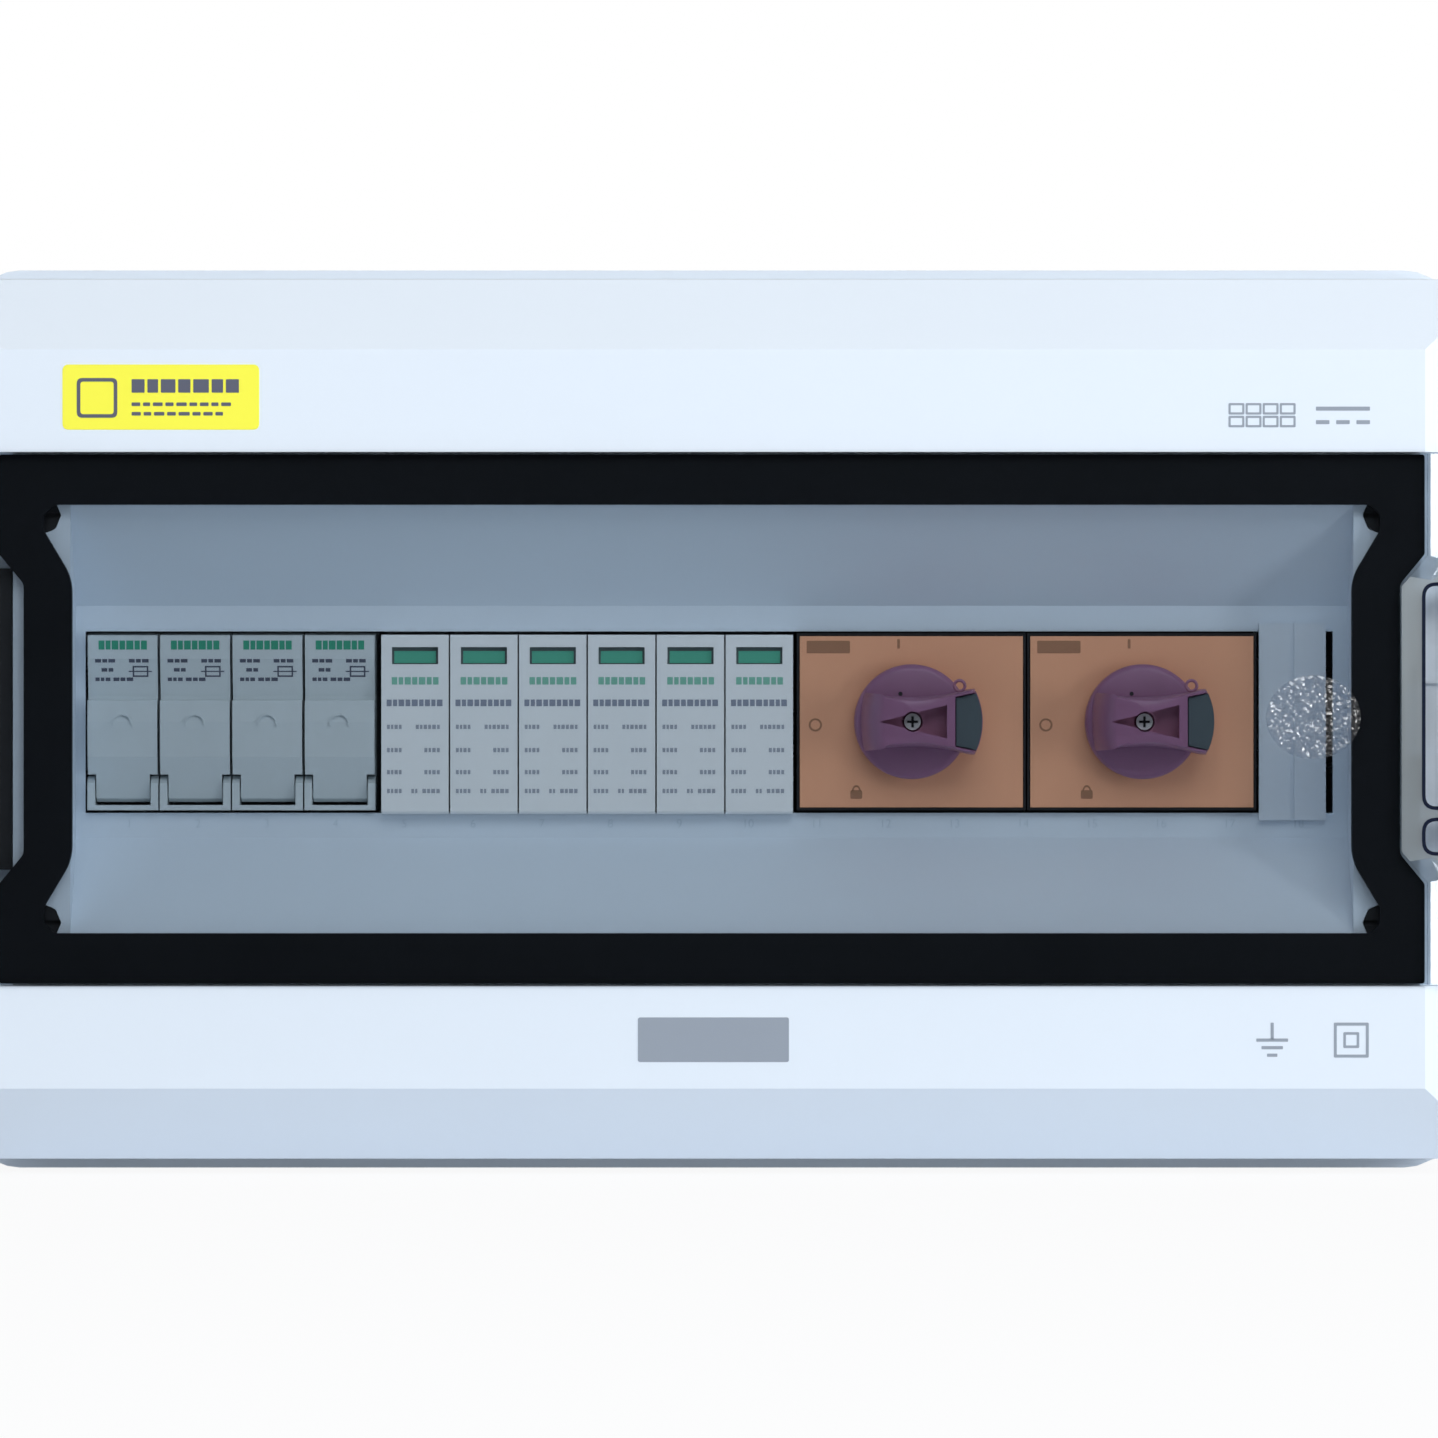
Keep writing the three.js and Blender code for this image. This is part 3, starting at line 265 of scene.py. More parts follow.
# Painted light: the flange's sheet lets more through and mirrors more than the door's, which lifts the shade
# behind it; its gloss is real reflection.
CLEAR_FLANGE_PAINTED_LIGHT = clear_sheet("flange_sheet_painted_light", (0.95, 0.975, 1.0), 0.32, 0.6, (0.86, 0.95, 1.0))
CLEAR_EDGE = glassy("clear_door_edge", (0.86, 0.90, 0.93), 0.06)
# Painted darkness: opaque near-black for the clear sheet's end-on edges, standing in for the dark they show;
# its gloss is real.
DOOR_EDGE_PAINTED_DARK = moulded("door_edge_painted_dark", (0.012, 0.016, 0.035), 0.15, bump=0.05)
CRYSTAL = clear_sheet("crystal_pad", (0.94, 0.96, 0.99), 0.16, 0.10)


# ------------------------------------------------------------------ making pieces

# Faces that lie within this angle of each other are joined before their edges are rounded.
FLAT_ANGLE = math.radians(0.6)

# What delaunay_2d_cdt is to return: all the triangles, or those inside the outlines.
WHOLE_HULL, INSIDE_OUTLINES = 0, 1

# A block's six faces, from four corners at one depth and the same four at another.
BLOCK_FACES = ((0, 1, 2, 3), (4, 5, 6, 7), (0, 1, 5, 4), (1, 2, 6, 5), (2, 3, 7, 6), (3, 0, 4, 7))


def soften(obj, width, segments=2, angle=32, join=True):
    """Rounds the sharp edges, after flat faces are joined, and shades the rest smooth."""
    mesh = obj.data
    mesh.polygons.foreach_set("use_smooth", [True] * len(mesh.polygons))
    mesh.set_sharp_from_angle(angle=math.radians(angle))
    if join:
        flat = obj.modifiers.new("join flat faces", "DECIMATE")
        flat.decimate_type = "DISSOLVE"
        flat.angle_limit = FLAT_ANGLE
    bevel = obj.modifiers.new("round edges", "BEVEL")
    bevel.width = width * MM
    bevel.segments = segments
    bevel.limit_method = "ANGLE"
    bevel.angle_limit = math.radians(angle)
    bevel.harden_normals = True


def dress(node, material, width=0.3, segments=2, angle=32, join=True):
    """Gives a CAD node its finish and rounded edges."""
    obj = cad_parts[node]
    obj.data.materials.clear()
    obj.data.materials.append(material)
    if width:
        soften(obj, width, segments, angle, join)


def piece(name, bm, material, body, replaces=(), soft=None, segments=2):
    bmesh.ops.recalc_face_normals(bm, faces=bm.faces)
    mesh = bpy.data.meshes.new(name)
    bm.to_mesh(mesh)
    bm.free()
    obj = bpy.data.objects.new(name, mesh)
    bpy.context.scene.collection.objects.link(obj)
    mesh.materials.append(material)
    if soft:
        soften(obj, soft, segments)
    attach(obj, body)
    if replaces:
        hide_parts(*replaces)
    return obj


def smooth(obj, angle=35):
    """Shades a piece smooth where its faces meet at less than the angle."""
    mesh = obj.data
    mesh.polygons.foreach_set("use_smooth", [True] * len(mesh.polygons))
    mesh.set_sharp_from_angle(angle=math.radians(angle))


def cut_away(obj, bm):
    """Takes the given shapes out of a piece, for good."""
    mesh = bpy.data.meshes.new("cutter")
    bmesh.ops.recalc_face_normals(bm, faces=bm.faces)
    bm.to_mesh(mesh)
    bm.free()
    tool = bpy.data.objects.new("cutter", mesh)
    bpy.context.scene.collection.objects.link(tool)
    carve = obj.modifiers.new("carve", "BOOLEAN")
    carve.object = tool
    carve.solver = "EXACT"
    bpy.context.view_layer.update()
    graph = bpy.context.evaluated_depsgraph_get()
    carved = bpy.data.meshes.new_from_object(obj.evaluated_get(graph))
    obj.modifiers.clear()
    obj.data = carved
    bpy.data.objects.remove(tool)


def curved(start, bend, end, steps):
    """Points along a curve that leaves start towards bend, and comes to end from it."""
    spots = []
    for step in range(steps + 1):
        t = step / steps
        spots.append(start * (1 - t) ** 2 + bend * 2 * t * (1 - t) + end * t ** 2)
    return spots


def rounded(corners, steps=5):
    """A closed outline with its corners rounded. Each corner is (x, z, radius)."""
    points = []
    count = len(corners)
    for i, (x, z, radius) in enumerate(corners):
        here = Vector((x, z))
        if not radius:
            points.append(here)
            continue
        before = Vector(corners[i - 1][:2]) - here
        after = Vector(corners[(i + 1) % count][:2]) - here
        turn = before.angle(after)
        reach = min(radius / math.tan(turn / 2), before.length * 0.48, after.length * 0.48)
        start = here + before.normalized() * reach
        end = here + after.normalized() * reach
        points += curved(start, here, end, steps)
    return [(p.x, p.y) for p in points]


def rectangle(x0, x1, z0, z1, radius, steps=5):
    return rounded([(x1, z0, radius), (x1, z1, radius), (x0, z1, radius), (x0, z0, radius)], steps)


def circle(x, z, radius, count=32):
    turns = [2 * math.pi * i / count for i in range(count)]
    return [(x + radius * math.cos(t), z + radius * math.sin(t)) for t in turns]


def encloses(loop, spot):
    """Whether a point lies inside a closed outline."""
    odd = False
    for (x0, z0), (x1, z1) in zip(loop, loop[1:] + loop[:1]):
        if (z0 > spot.y) != (z1 > spot.y) and spot.x < x0 + (spot.y - z0) * (x1 - x0) / (z1 - z0):
            odd = not odd
    return odd


def add_plate(bm, outer, d0, d1, holes=()):
    """Adds a flat plate between two depths, with the given outline and holes."""
    flat, edges = [], []
    for loop in [outer, *holes]:
        first, count = len(flat), len(loop)
        flat += [Vector(spot) for spot in loop]
        edges += [(first + i, first + (i + 1) % count) for i in range(count)]
    spots, _, triangles = delaunay_2d_cdt(flat, edges, [], INSIDE_OUTLINES, 1e-6)[:3]
    verts = [bm.verts.new(point(x, d0, z)) for x, z in spots]
    faces = []
    for triangle in triangles:
        centre = sum((spots[k] for k in triangle), Vector((0, 0))) / 3
        if encloses(outer, centre) and not any(encloses(hole, centre) for hole in holes):
            faces.append(bm.faces.new([verts[k] for k in triangle]))
    grown = bmesh.ops.extrude_face_region(bm, geom=faces)
    moved = [v for v in grown["geom"] if isinstance(v, bmesh.types.BMVert)]
    bmesh.ops.translate(bm, verts=moved, vec=point(0, d1 - d0, 0))
    return bm


def add_block(bm, corners):
    """Adds a six-sided block from its eight corners, in BLOCK_FACES' order."""
    verts = [bm.verts.new(corner) for corner in corners]
    for face in BLOCK_FACES:
        bm.faces.new([verts[k] for k in face])


def add_box(bm, x0, x1, d0, d1, z0, z1):
    sides = ((x0, z0), (x1, z0), (x1, z1), (x0, z1))
    add_block(bm, [point(x, d, z) for d in (d0, d1) for x, z in sides])
    return bm


def add_rings(bm, rings):
    """Joins rings of points, each (outline, depth), into one closed skin."""
    loops = [[bm.verts.new(point(x, d, z)) for x, z in outline] for outline, d in rings]
    for low, high in zip(loops, loops[1:]):
        for i in range(len(low)):
            bm.faces.new((low[i - 1], low[i], high[i], high[i - 1]))
    bm.faces.new(loops[0])
    bm.faces.new(loops[-1])


def add_torus(bm, x, d, z, radius, tube, around=20, across=8):
    """A small ring that lies parallel to the front."""
    loops = []
    for i in range(around):
        a = 2 * math.pi * i / around
        loop = []
        for j in range(across):
            b = 2 * math.pi * j / across
            reach = radius + tube * math.cos(b)
            spot = point(x + reach * math.cos(a), d + tube * math.sin(b), z + reach * math.sin(a))
            loop.append(bm.verts.new(spot))
        loops.append(loop)
    for i in range(around):
        for j in range(across):
            bm.faces.new((loops[i - 1][j - 1], loops[i][j - 1], loops[i][j], loops[i - 1][j]))


# ------------------------------------------------------------------ enclosure

# The bead on the cover's back edge: its corner, and how far it stands out, under, back and forward.
BEAD_CORNER, BEAD_OUT, BEAD_UNDER = 8, 1.0, 0.3
BEAD_BACK, BEAD_FORWARD = 0.25, 0.6

LIP_WIDTH, LIP_DEPTH, LIP_PROUD = 1.3, 1.6, 0.03

NUMBER_COUNT = 18
NUMBER_Z = ROW_Z - 26
NUMBER_HEIGHT = 3.1
NUMBER_RELIEF = 0.12
NUMBER_SHIFT = 0.45

# The sticker and badge, each as left, right, lowest z, highest z and corner radius.
STICKER = (-163.4, -113.9, 72.8, 89.2, 1.6)
STICKER_FRAME = (-159.8, -149.6, 75.8, 85.8, 1.4)
STICKER_FRAME_HOLE = (-158.9, -150.5, 76.7, 84.9, 0.8)
BADGE_PLACE = (-18.6, 19.4, -86.3, -75.1, 0.6)

# Ruled bars on the sticker, each as left, right, middle, height, block length and gap.
STICKER_BARS = [
    (-146, -119, 83.8, 3.4, 3.4, 0.7),
    (-146, -121, 79.2, 0.9, 2.2, 0.7),
    (-146, -123, 76.8, 0.9, 2.2, 0.7),
]

# The direct current mark: a line over dashes.
DC_LEFT, DC_LENGTH, DC_Z = 152, 13.6, 77.6
DC_DASH_STEP, DC_DASH_LENGTH, DC_DASH_Z = 5.1, 3.4, 74.2

# The panel of cells: its corner, the steps from cell to cell, and the size and line of a cell.
CELLS_LEFT, CELLS_LOW = 130, 73.4
CELL_STEP_X, CELL_STEP_Z = 4.3, 3.2
CELL_WIDTH, CELL_HEIGHT, CELL_LINE = 4.0, 2.9, 0.55

# Protection class II: a square in a square, each as left, right, lowest z, highest z and line.
CLASS_SQUARES = [(156.5, 165.3, -85.2, -76.4, 0.75), (158.9, 162.9, -82.8, -78.8, 0.65)]

# The earth mark: a stem, and three bars below it, each as half its length and lowest z.
EARTH_X = 141
EARTH_STEM = (0.4, -80.6, -76.4)
EARTH_BARS = [(4, -81.2), (2.7, -83.1), (1.3, -85.0)]
MARK_LINE, EARTH_LINE = 1.0, 0.8


def enclosure():
    dress("base_shell", WHITE, 0.7, 3)
    dress("front_cover", WHITE, 0.9, 3)
    dress("cover_seal", SEAL, 0.3)
    dress("hinge_pin", STEEL, 0.2)
    dress("hinge_bracket", BLACK, 0.5)
    for i in range(1, 5):
        dress(f"cover_screw_{i}", BLACK, 0.35)
    dress("din_rail", STEEL, 0.2)
    dress("rail_screw_left", STEEL, 0.2)
    dress("rail_screw_right", STEEL, 0.2)
    dress("earth_bar", BRASS, 0.3)
    dress("earth_bar_holder", BLACK, 0.4)
    dress("blanking_strip", STRIP_GREY, 0.25)
    for name in [f"link_wire_{i}" for i in range(1, 5)] + ["feed_wire_1", "feed_wire_2"]:
        dress(name, RED_WIRE, 0)


def seam_lip():
    """A bead round the cover's back edge that hides the seal's groove in the base's flange."""
    (x0, x1), (back, _), (z0, z1) = span("front_cover")

    def grown(reach):
        return rectangle(x0 - reach, x1 + reach, z0 - reach, z1 + reach, BEAD_CORNER + reach, 8)

    bm = add_plate(bmesh.new(), grown(BEAD_OUT), back - BEAD_BACK, back + BEAD_FORWARD, [grown(-BEAD_UNDER)])
    piece("cover_seam_lip", bm, WHITE, "enclosure")


def cut_out_lip():
    """The thin lip that edges the device opening."""
    (x0, x1), (z0, z1) = CUT_OUT_X, CUT_OUT_Z
    outer = rectangle(x0 - LIP_WIDTH, x1 + LIP_WIDTH, z0 - LIP_WIDTH, z1 + LIP_WIDTH, 0)
    inner = rectangle(x0, x1, z0, z1, 0)
    lip = add_plate(bmesh.new(), outer, PANEL_FRONT - LIP_DEPTH, PANEL_FRONT + LIP_PROUD, [inner])
    piece("cut_out_lip", lip, WHITE, "enclosure")


def number_relief(number):
    """One raised number, as a mesh that lies flat at the origin."""
    curve = bpy.data.curves.new("number", "FONT")
    curve.body = str(number)
    curve.size = NUMBER_HEIGHT * MM
    curve.extrude = NUMBER_RELIEF * MM
    curve.align_x = "CENTER"
    curve.align_y = "CENTER"
    obj = bpy.data.objects.new("number", curve)
    bpy.context.scene.collection.objects.link(obj)
    bpy.context.view_layer.update()
    graph = bpy.context.evaluated_depsgraph_get()
    mesh = bpy.data.meshes.new_from_object(obj.evaluated_get(graph))
    bpy.data.objects.remove(obj)
    bpy.data.curves.remove(curve)
    return mesh


def module_numbers():
    """Raised numbers under the cut-out, one for each module."""
    bm = bmesh.new()
    for number in range(1, NUMBER_COUNT + 1):
        mesh = number_relief(number)
        x = (number - (NUMBER_COUNT + 1) / 2) * MODULE + NUMBER_SHIFT
        for v in mesh.vertices:
            v.co = point(x, PANEL_FRONT, NUMBER_Z) + Vector((v.co.x, -v.co.z, v.co.y))
        bm.from_mesh(mesh)
        bpy.data.meshes.remove(mesh)
    piece("module_numbers", bm, NUMBER_GREY, "enclosure")


def label(name, place, material):
    """A thin plate on the front of the cover."""
    bm = add_plate(bmesh.new(), rectangle(*place), COVER_FRONT - 0.2, COVER_FRONT + 0.15)
    piece(name, bm, material, "enclosure", soft=0.06)


def sticker():
    """A plain yellow sticker with an empty frame and ruled bars."""
    label("yellow_sticker", STICKER, YELLOW)
    back = COVER_FRONT + 0.1
    front = back + 0.1
    lines = bmesh.new()
    for row in STICKER_BARS:
        for left, right, low, high in word(*row):
            add_plate(lines, rectangle(left, right, low, high, 0.2, 2), back, front)
    add_plate(lines, rectangle(*STICKER_FRAME), back, front, [rectangle(*STICKER_FRAME_HOLE)])
    piece("sticker_lines", lines, PRINT, "enclosure")


def symbols():
    """General marks on the cover, with no words: direct current, cells, class II and earth."""
    marks = bmesh.new()
    back = COVER_FRONT - 0.1
    front = COVER_FRONT + 0.05

    def bar(x0, x1, z, line):
        add_plate(marks, rectangle(x0, x1, z, z + line, 0.15, 2), back, front)

    def hollow(x0, x1, z0, z1, line):
        hole = rectangle(x0 + line, x1 - line, z0 + line, z1 - line, 0.15, 2)
        add_plate(marks, rectangle(x0, x1, z0, z1, 0.3, 2), back, front, [hole])

    bar(DC_LEFT, DC_LEFT + DC_LENGTH, DC_Z, MARK_LINE)
    for i in range(3):
        left = DC_LEFT + i * DC_DASH_STEP
        bar(left, left + DC_DASH_LENGTH, DC_DASH_Z, MARK_LINE)
    for column in range(4):
        for row in range(2):
            left = CELLS_LEFT + column * CELL_STEP_X
            low = CELLS_LOW + row * CELL_STEP_Z
            hollow(left, left + CELL_WIDTH, low, low + CELL_HEIGHT, CELL_LINE)
    for square in CLASS_SQUARES:
        hollow(*square)
    half, low, high = EARTH_STEM
    bar(EARTH_X - half, EARTH_X + half, low, high - low)
    for half, z in EARTH_BARS:
        bar(EARTH_X - half, EARTH_X + half, z, EARTH_LINE)
    piece("cover_symbols", marks, BADGE, "enclosure")


def cover_graphics():
    """A plain sticker, a blank badge and general symbols."""
    sticker()
    label("grey_badge", BADGE_PLACE, BADGE)
    symbols()


# ------------------------------------------------------------------ door

DOOR_FACE = DOOR_FRONT - 0.6
DOOR_PLATE_BACK = DOOR_FRONT - 2.8
DOOR_RIM_BACK = 99.0

# A corner slope's edges from the door's top down: against the flat, and at the door's end.
SLOPE_INNER = [(180.1, DOOR_Z1), (180.1, 41.2), (175.6, 35.8)]
SLOPE_OUTER = [(DOOR_X1, DOOR_Z1), (DOOR_X1, 39.4), (181.2, 34.9)]
SLOPE_DROPS = [3.3, 3.3, 0.6]
SLOPE_STOPS = [(0, 0), (0.1, 0.05), (0.5, 0.47), (0.93, 0.93), (1, 1.12)]
SLOPE_THICKNESS = 2.0

# The finger flange between the slopes: its corner at the gasket, and its openings from the left edge
# FLANGE_X to the rim, each as lowest z, highest z and corner radius.
FLANGE_CORNER = (173.5, 33.3)
RIM_X, FLANGE_X = DOOR_X1 - 2.4, 179.5
FLANGE_HOLES = [(-22, 33.5, 4), (-33.5, -25.7, 3)]
COLLAR_WIDTH, COLLAR_DEPTH = 0.9, 5

# The rim's three stretches, each as lowest z, highest z and front.
RIM_STRETCHES = [
    (DOOR_Z0 + 3, -39.6, 104.4),
    (-39.2, 39.2, DOOR_PLATE_BACK),
    (39.6, DOOR_Z1 - 3, 104.4),
]
TONGUE_X, TONGUE_HALF = (175.6, 177.8), 13.3

HINGE_X, HINGE_D = (PIN_X0 + PIN_X1) / 2, (PIN_D0 + PIN_D1) / 2
HINGE_NOTCH_X, HINGE_NOTCH_HALF = -179, 38.4
KNUCKLE_SPAN = (BRACKET_Z1 + 0.4, PIN_Z1)
KNUCKLE_RADIUS = 4.0

# The upper right quarters of the gasket's outlines, each corner as x, z and radius.
GASKET_OUTER = [(173.3, 34, 3), (179.5, 41.5, 1.5), (179.5, 66.6, 0.8)]
GASKET_INNER = [(161.2, 35.5, 13), (168.3, 47.4, 1), (168.3, 51.5, 2), (165.5, 54, 1.5)]

# The thumb pad: an oval with a plain edge, full of facets of uneven pitch and height.
PAD_X, PAD_Z = 151.3, 0.4
PAD_HALF_X, PAD_HALF_Z = 11.9, 10.5
PAD_EDGE_COUNT, PAD_EDGE_HEIGHT = 84, 0.02
PAD_PITCH, PAD_JITTER = 0.62, 0.3
PAD_INSIDE = 0.93
PAD_HEIGHTS = (0.06, 0.14, 0.24, 0.36)


def window_outline():
    """The flat of the door, notched at the left for the hinge and waisted at the right."""
    notch_x, notch_z = HINGE_NOTCH_X, HINGE_NOTCH_HALF
    right = [(x, z, 0) for x, z in [*SLOPE_INNER, FLANGE_CORNER]]
    return rounded([
        *[(x, -z, radius) for x, z, radius in right], *reversed(right),
        (DOOR_X0, DOOR_Z1, 3), (DOOR_X0, notch_z, 1.5), (notch_x, notch_z, 3),
        (notch_x, -notch_z, 3), (DOOR_X0, -notch_z, 1.5), (DOOR_X0, DOOR_Z0, 3),
    ])


def flange_outline():
    """The flat finger flange at the right, between the two sloped corners."""
    upper = [FLANGE_CORNER, SLOPE_INNER[2], SLOPE_OUTER[2], SLOPE_OUTER[1]]
    return [(x, -z) for x, z in upper] + list(reversed(upper))


def add_corner_slope(bm, side):
    """Where the door falls away from its flat to its end, beside the gasket's corner."""
    rows = []
    for (x0, z0), (x1, z1), drop in zip(SLOPE_INNER, SLOPE_OUTER, SLOPE_DROPS):
        row = []
        for share, fall in SLOPE_STOPS:
            x, z = x0 + (x1 - x0) * share, z0 + (z1 - z0) * share
            d = DOOR_FACE - drop * fall
            row.append([bm.verts.new(point(x, depth, side * z)) for depth in (d, d - SLOPE_THICKNESS)])
        rows.append(row)
    for upper, lower in zip(rows, rows[1:]):
        for i in range(len(upper) - 1):
            for layer in (0, 1):
                quad = (upper[i], upper[i + 1], lower[i + 1], lower[i])
                bm.faces.new([corner[layer] for corner in quad])
        for end in (0, -1):
            bm.faces.new((upper[end][0], lower[end][0], lower[end][1], upper[end][1]))
    for row in (rows[0], rows[-1]):
        for i in range(len(row) - 1):
            bm.faces.new((row[i][0], row[i + 1][0], row[i + 1][1], row[i][1]))


def flange_hole(outset, z0, z1, radius):
    return rectangle(FLANGE_X - outset, RIM_X + outset, z0 - outset, z1 + outset, radius + outset)


def window():
    """The flat of the door. Its narrow sides show the sheet's moulded edge, but its top and bottom sides are
    painted dark, for the darkness a clear edge shows.
    """
    bm = add_plate(bmesh.new(), window_outline(), DOOR_PLATE_BACK, DOOR_FACE)
    obj = piece("door_window", bm, CLEAR, "door_leaf", replaces=("door",))
    obj.data.materials.append(CLEAR_EDGE)
    obj.data.materials.append(DOOR_EDGE_PAINTED_DARK)
    for polygon in obj.data.polygons:
        depths = [obj.data.vertices[k].co.y for k in polygon.vertices]
        if max(depths) - min(depths) > 0.5 * MM:
            # The top and bottom sides take the painted dark; the other narrow sides take the moulded edge.
            polygon.material_index = 2 if abs(polygon.normal.z) > 0.7 else 1


def flange():
    holes = [flange_hole(0, *hole) for hole in FLANGE_HOLES]
    bm = add_plate(bmesh.new(), flange_outline(), DOOR_PLATE_BACK, DOOR_FACE, holes)
    # The flange takes the lighter sheet, painted light over the shade behind it.
    piece("door_flange", bm, CLEAR_FLANGE_PAINTED_LIGHT, "door_leaf")


def corner_slopes():
    bm = bmesh.new()
    for side in (1, -1):
        add_corner_slope(bm, side)
    piece("door_corner_slopes", bm, CLEAR, "door_leaf")


def finger_rim():
    bm = bmesh.new()
    for low, high, front in RIM_STRETCHES:
        add_box(bm, RIM_X, DOOR_X1, DOOR_RIM_BACK, front, low, high)
    piece("door_finger_rim", bm, CLEAR_EDGE, "door_leaf", soft=0.8, segments=3)


def opening_collars():
    """The edge round each opening in the flange, painted near-black for the darkness a clear edge shows."""
    bm = bmesh.new()
    for hole in FLANGE_HOLES:
        outside, inside = flange_hole(COLLAR_WIDTH, *hole), flange_hole(0, *hole)
        add_plate(bm, outside, DOOR_PLATE_BACK - COLLAR_DEPTH, DOOR_FACE + 0.05, [inside])
    piece("door_opening_collars", bm, DOOR_EDGE_PAINTED_DARK, "door_leaf")


def knuckles():
    low, high = KNUCKLE_SPAN
    bm = bmesh.new()
    add_knuckle(bm, low, high)
    add_knuckle(bm, -high, -low)
    piece("door_knuckles", bm, CLEAR_EDGE, "door_leaf", soft=0.4)


def latch_tongue():
    bm = bmesh.new()
    add_box(bm, *TONGUE_X, DOOR_RIM_BACK, DOOR_PLATE_BACK, -TONGUE_HALF, TONGUE_HALF)
    piece("door_latch_tongue", bm, CLEAR_EDGE, "door_leaf", soft=0.4)


def door():
    """The clear door: its flat, then what is moulded on at the right and behind."""
    window()
    flange()
    corner_slopes()
    finger_rim()
    opening_collars()
    knuckles()
    latch_tongue()


def add_knuckle(bm, z0, z1):
    """A barrel round the pin, with a web up to the back of the door."""
    turns = [math.radians(a) for a in range(90, 361, 15)]
    arc = [(HINGE_X + KNUCKLE_RADIUS * math.cos(t), HINGE_D + KNUCKLE_RADIUS * math.sin(t)) for t in turns]
    profile = [(x, d) for x, d in arc if d <= DOOR_PLATE_BACK - 0.1]
    profile.append((HINGE_X + KNUCKLE_RADIUS, DOOR_PLATE_BACK))
    profile.insert(0, (profile[0][0], DOOR_PLATE_BACK))
    ends = [[bm.verts.new(point(x, d, z)) for x, d in profile] for z in (z0, z1)]
    for i in range(len(profile)):
        bm.faces.new((ends[0][i - 1], ends[0][i], ends[1][i], ends[1][i - 1]))
    bm.faces.new(ends[0])
    bm.faces.new(ends[1])


def four_quarters(quarter):
    """A whole outline, from the corners of its upper right quarter."""
    upper = quarter + [(-x, z, radius) for x, z, radius in reversed(quarter)]
    return rounded(upper + [(-x, -z, radius) for x, z, radius in upper])


def gasket():
    """The wide ring on the back of the door, waisted at both ends beside the cover's screws."""
    outer, inner = four_quarters(GASKET_OUTER), four_quarters(GASKET_INNER)
    bm = add_plate(bmesh.new(), outer, GASKET_BACK, GASKET_FRONT, [inner])
    piece("window_gasket", bm, RUBBER, "door_leaf", replaces=("door_gasket",))


def pad_spots():
    """The pad's points about its middle, each as shares of its half sizes, and height."""
    random.seed(4)
    turns = [2 * math.pi * i / PAD_EDGE_COUNT for i in range(PAD_EDGE_COUNT)]
    spots = [(math.cos(t), math.sin(t), PAD_EDGE_HEIGHT) for t in turns]
    steps_x, steps_z = int(PAD_HALF_X / PAD_PITCH), int(PAD_HALF_Z / PAD_PITCH)
    for i in range(-steps_x, steps_x + 1):
        for j in range(-steps_z, steps_z + 1):
            a = (i + 0.5 * (j % 2) + random.uniform(-PAD_JITTER, PAD_JITTER)) * PAD_PITCH / PAD_HALF_X
            b = (j + random.uniform(-PAD_JITTER, PAD_JITTER)) * PAD_PITCH / PAD_HALF_Z
            if a * a + b * b < PAD_INSIDE:
                spots.append((a, b, random.choice(PAD_HEIGHTS)))
    return spots


def crystal_pad():
    """An oval of small rough facets on the front of the door, where a thumb presses."""
    spots = pad_spots()
    flat = [Vector((a * PAD_HALF_X, b * PAD_HALF_Z)) for a, b, _ in spots]
    triangles = delaunay_2d_cdt(flat, [], [], WHOLE_HULL, 1e-5)[2]
    bm = bmesh.new()
    verts = []
    for a, b, height in spots:
        spot = point(PAD_X + a * PAD_HALF_X, DOOR_FACE + height, PAD_Z + b * PAD_HALF_Z)
        verts.append(bm.verts.new(spot))
    for triangle in triangles:
        bm.faces.new([verts[k] for k in triangle])
    edge = [e for e in bm.edges if e.is_boundary]
    bmesh.ops.holes_fill(bm, edges=edge, sides=0)
    piece("crystal_pad", bm, CRYSTAL, "door_leaf")


# ------------------------------------------------------------------ devices

# Heights in this section are from the row's middle. The values for a printed word are its left, right,
# middle height, letter height and, where they aren't the usual ones, letter length and gap.
LETTERS = (1.0, 0.82, 1.12, 0.94, 1.2, 0.88)
PRINT_BACK, PRINT_FRONT = -0.1, 0.06

FUSE_WORDS = [
    (-7.0, -1.9, 15.5, 0.9), (1.6, 6.6, 15.5, 0.9), (-5.4, -2.4, 13.2, 0.9),
    (-7.0, -3.2, 10.8, 0.9), (-2.4, 2.6, 10.8, 0.9),
]
# The fuse symbol's lines, each as left, right, lowest and highest.
FUSE_SYMBOL = [
    (2.5, 2.9, 11.4, 14.2), (6.1, 6.5, 11.4, 14.2), (2.5, 6.5, 11.4, 11.8), (2.5, 6.5, 13.8, 14.2),
    (1.5, 7.4, 12.65, 12.95),
]
FUSE_BAND = [(-6.1, 6.2, 19.5, 2.3, 1.5, 0.3)]
THUMB_Z, THUMB_OUTER, THUMB_INNER = -0.5, 2.55, 2.15
THUMB_START, THUMB_END = -0.06, 1.06
THUMB_BACK, THUMB_FRONT = 86.0, 87.1

# Each line of surge print has a word from SURGE_LEFT and one that ends at SURGE_RIGHT.
SURGE_TITLE = [(-7.2, 7.0, 4.8, 1.7, 1.3, 0.35)]
SURGE_BAND = [(-5.9, 6.0, 10.4, 1.9, 1.4, 0.35)]
SURGE_LEFT, SURGE_RIGHT = (-7.1, -3.4), 6.3
SURGE_LINES = [(-1.3, 0.2), (-7.2, 2.4), (-12.8, 2.4), (-17.6, 1.9)]
SURGE_LETTER = (1.1, 0.8, 0.3)
SURGE_LAST_WORD = (-0.9, 0.6, -17.6)

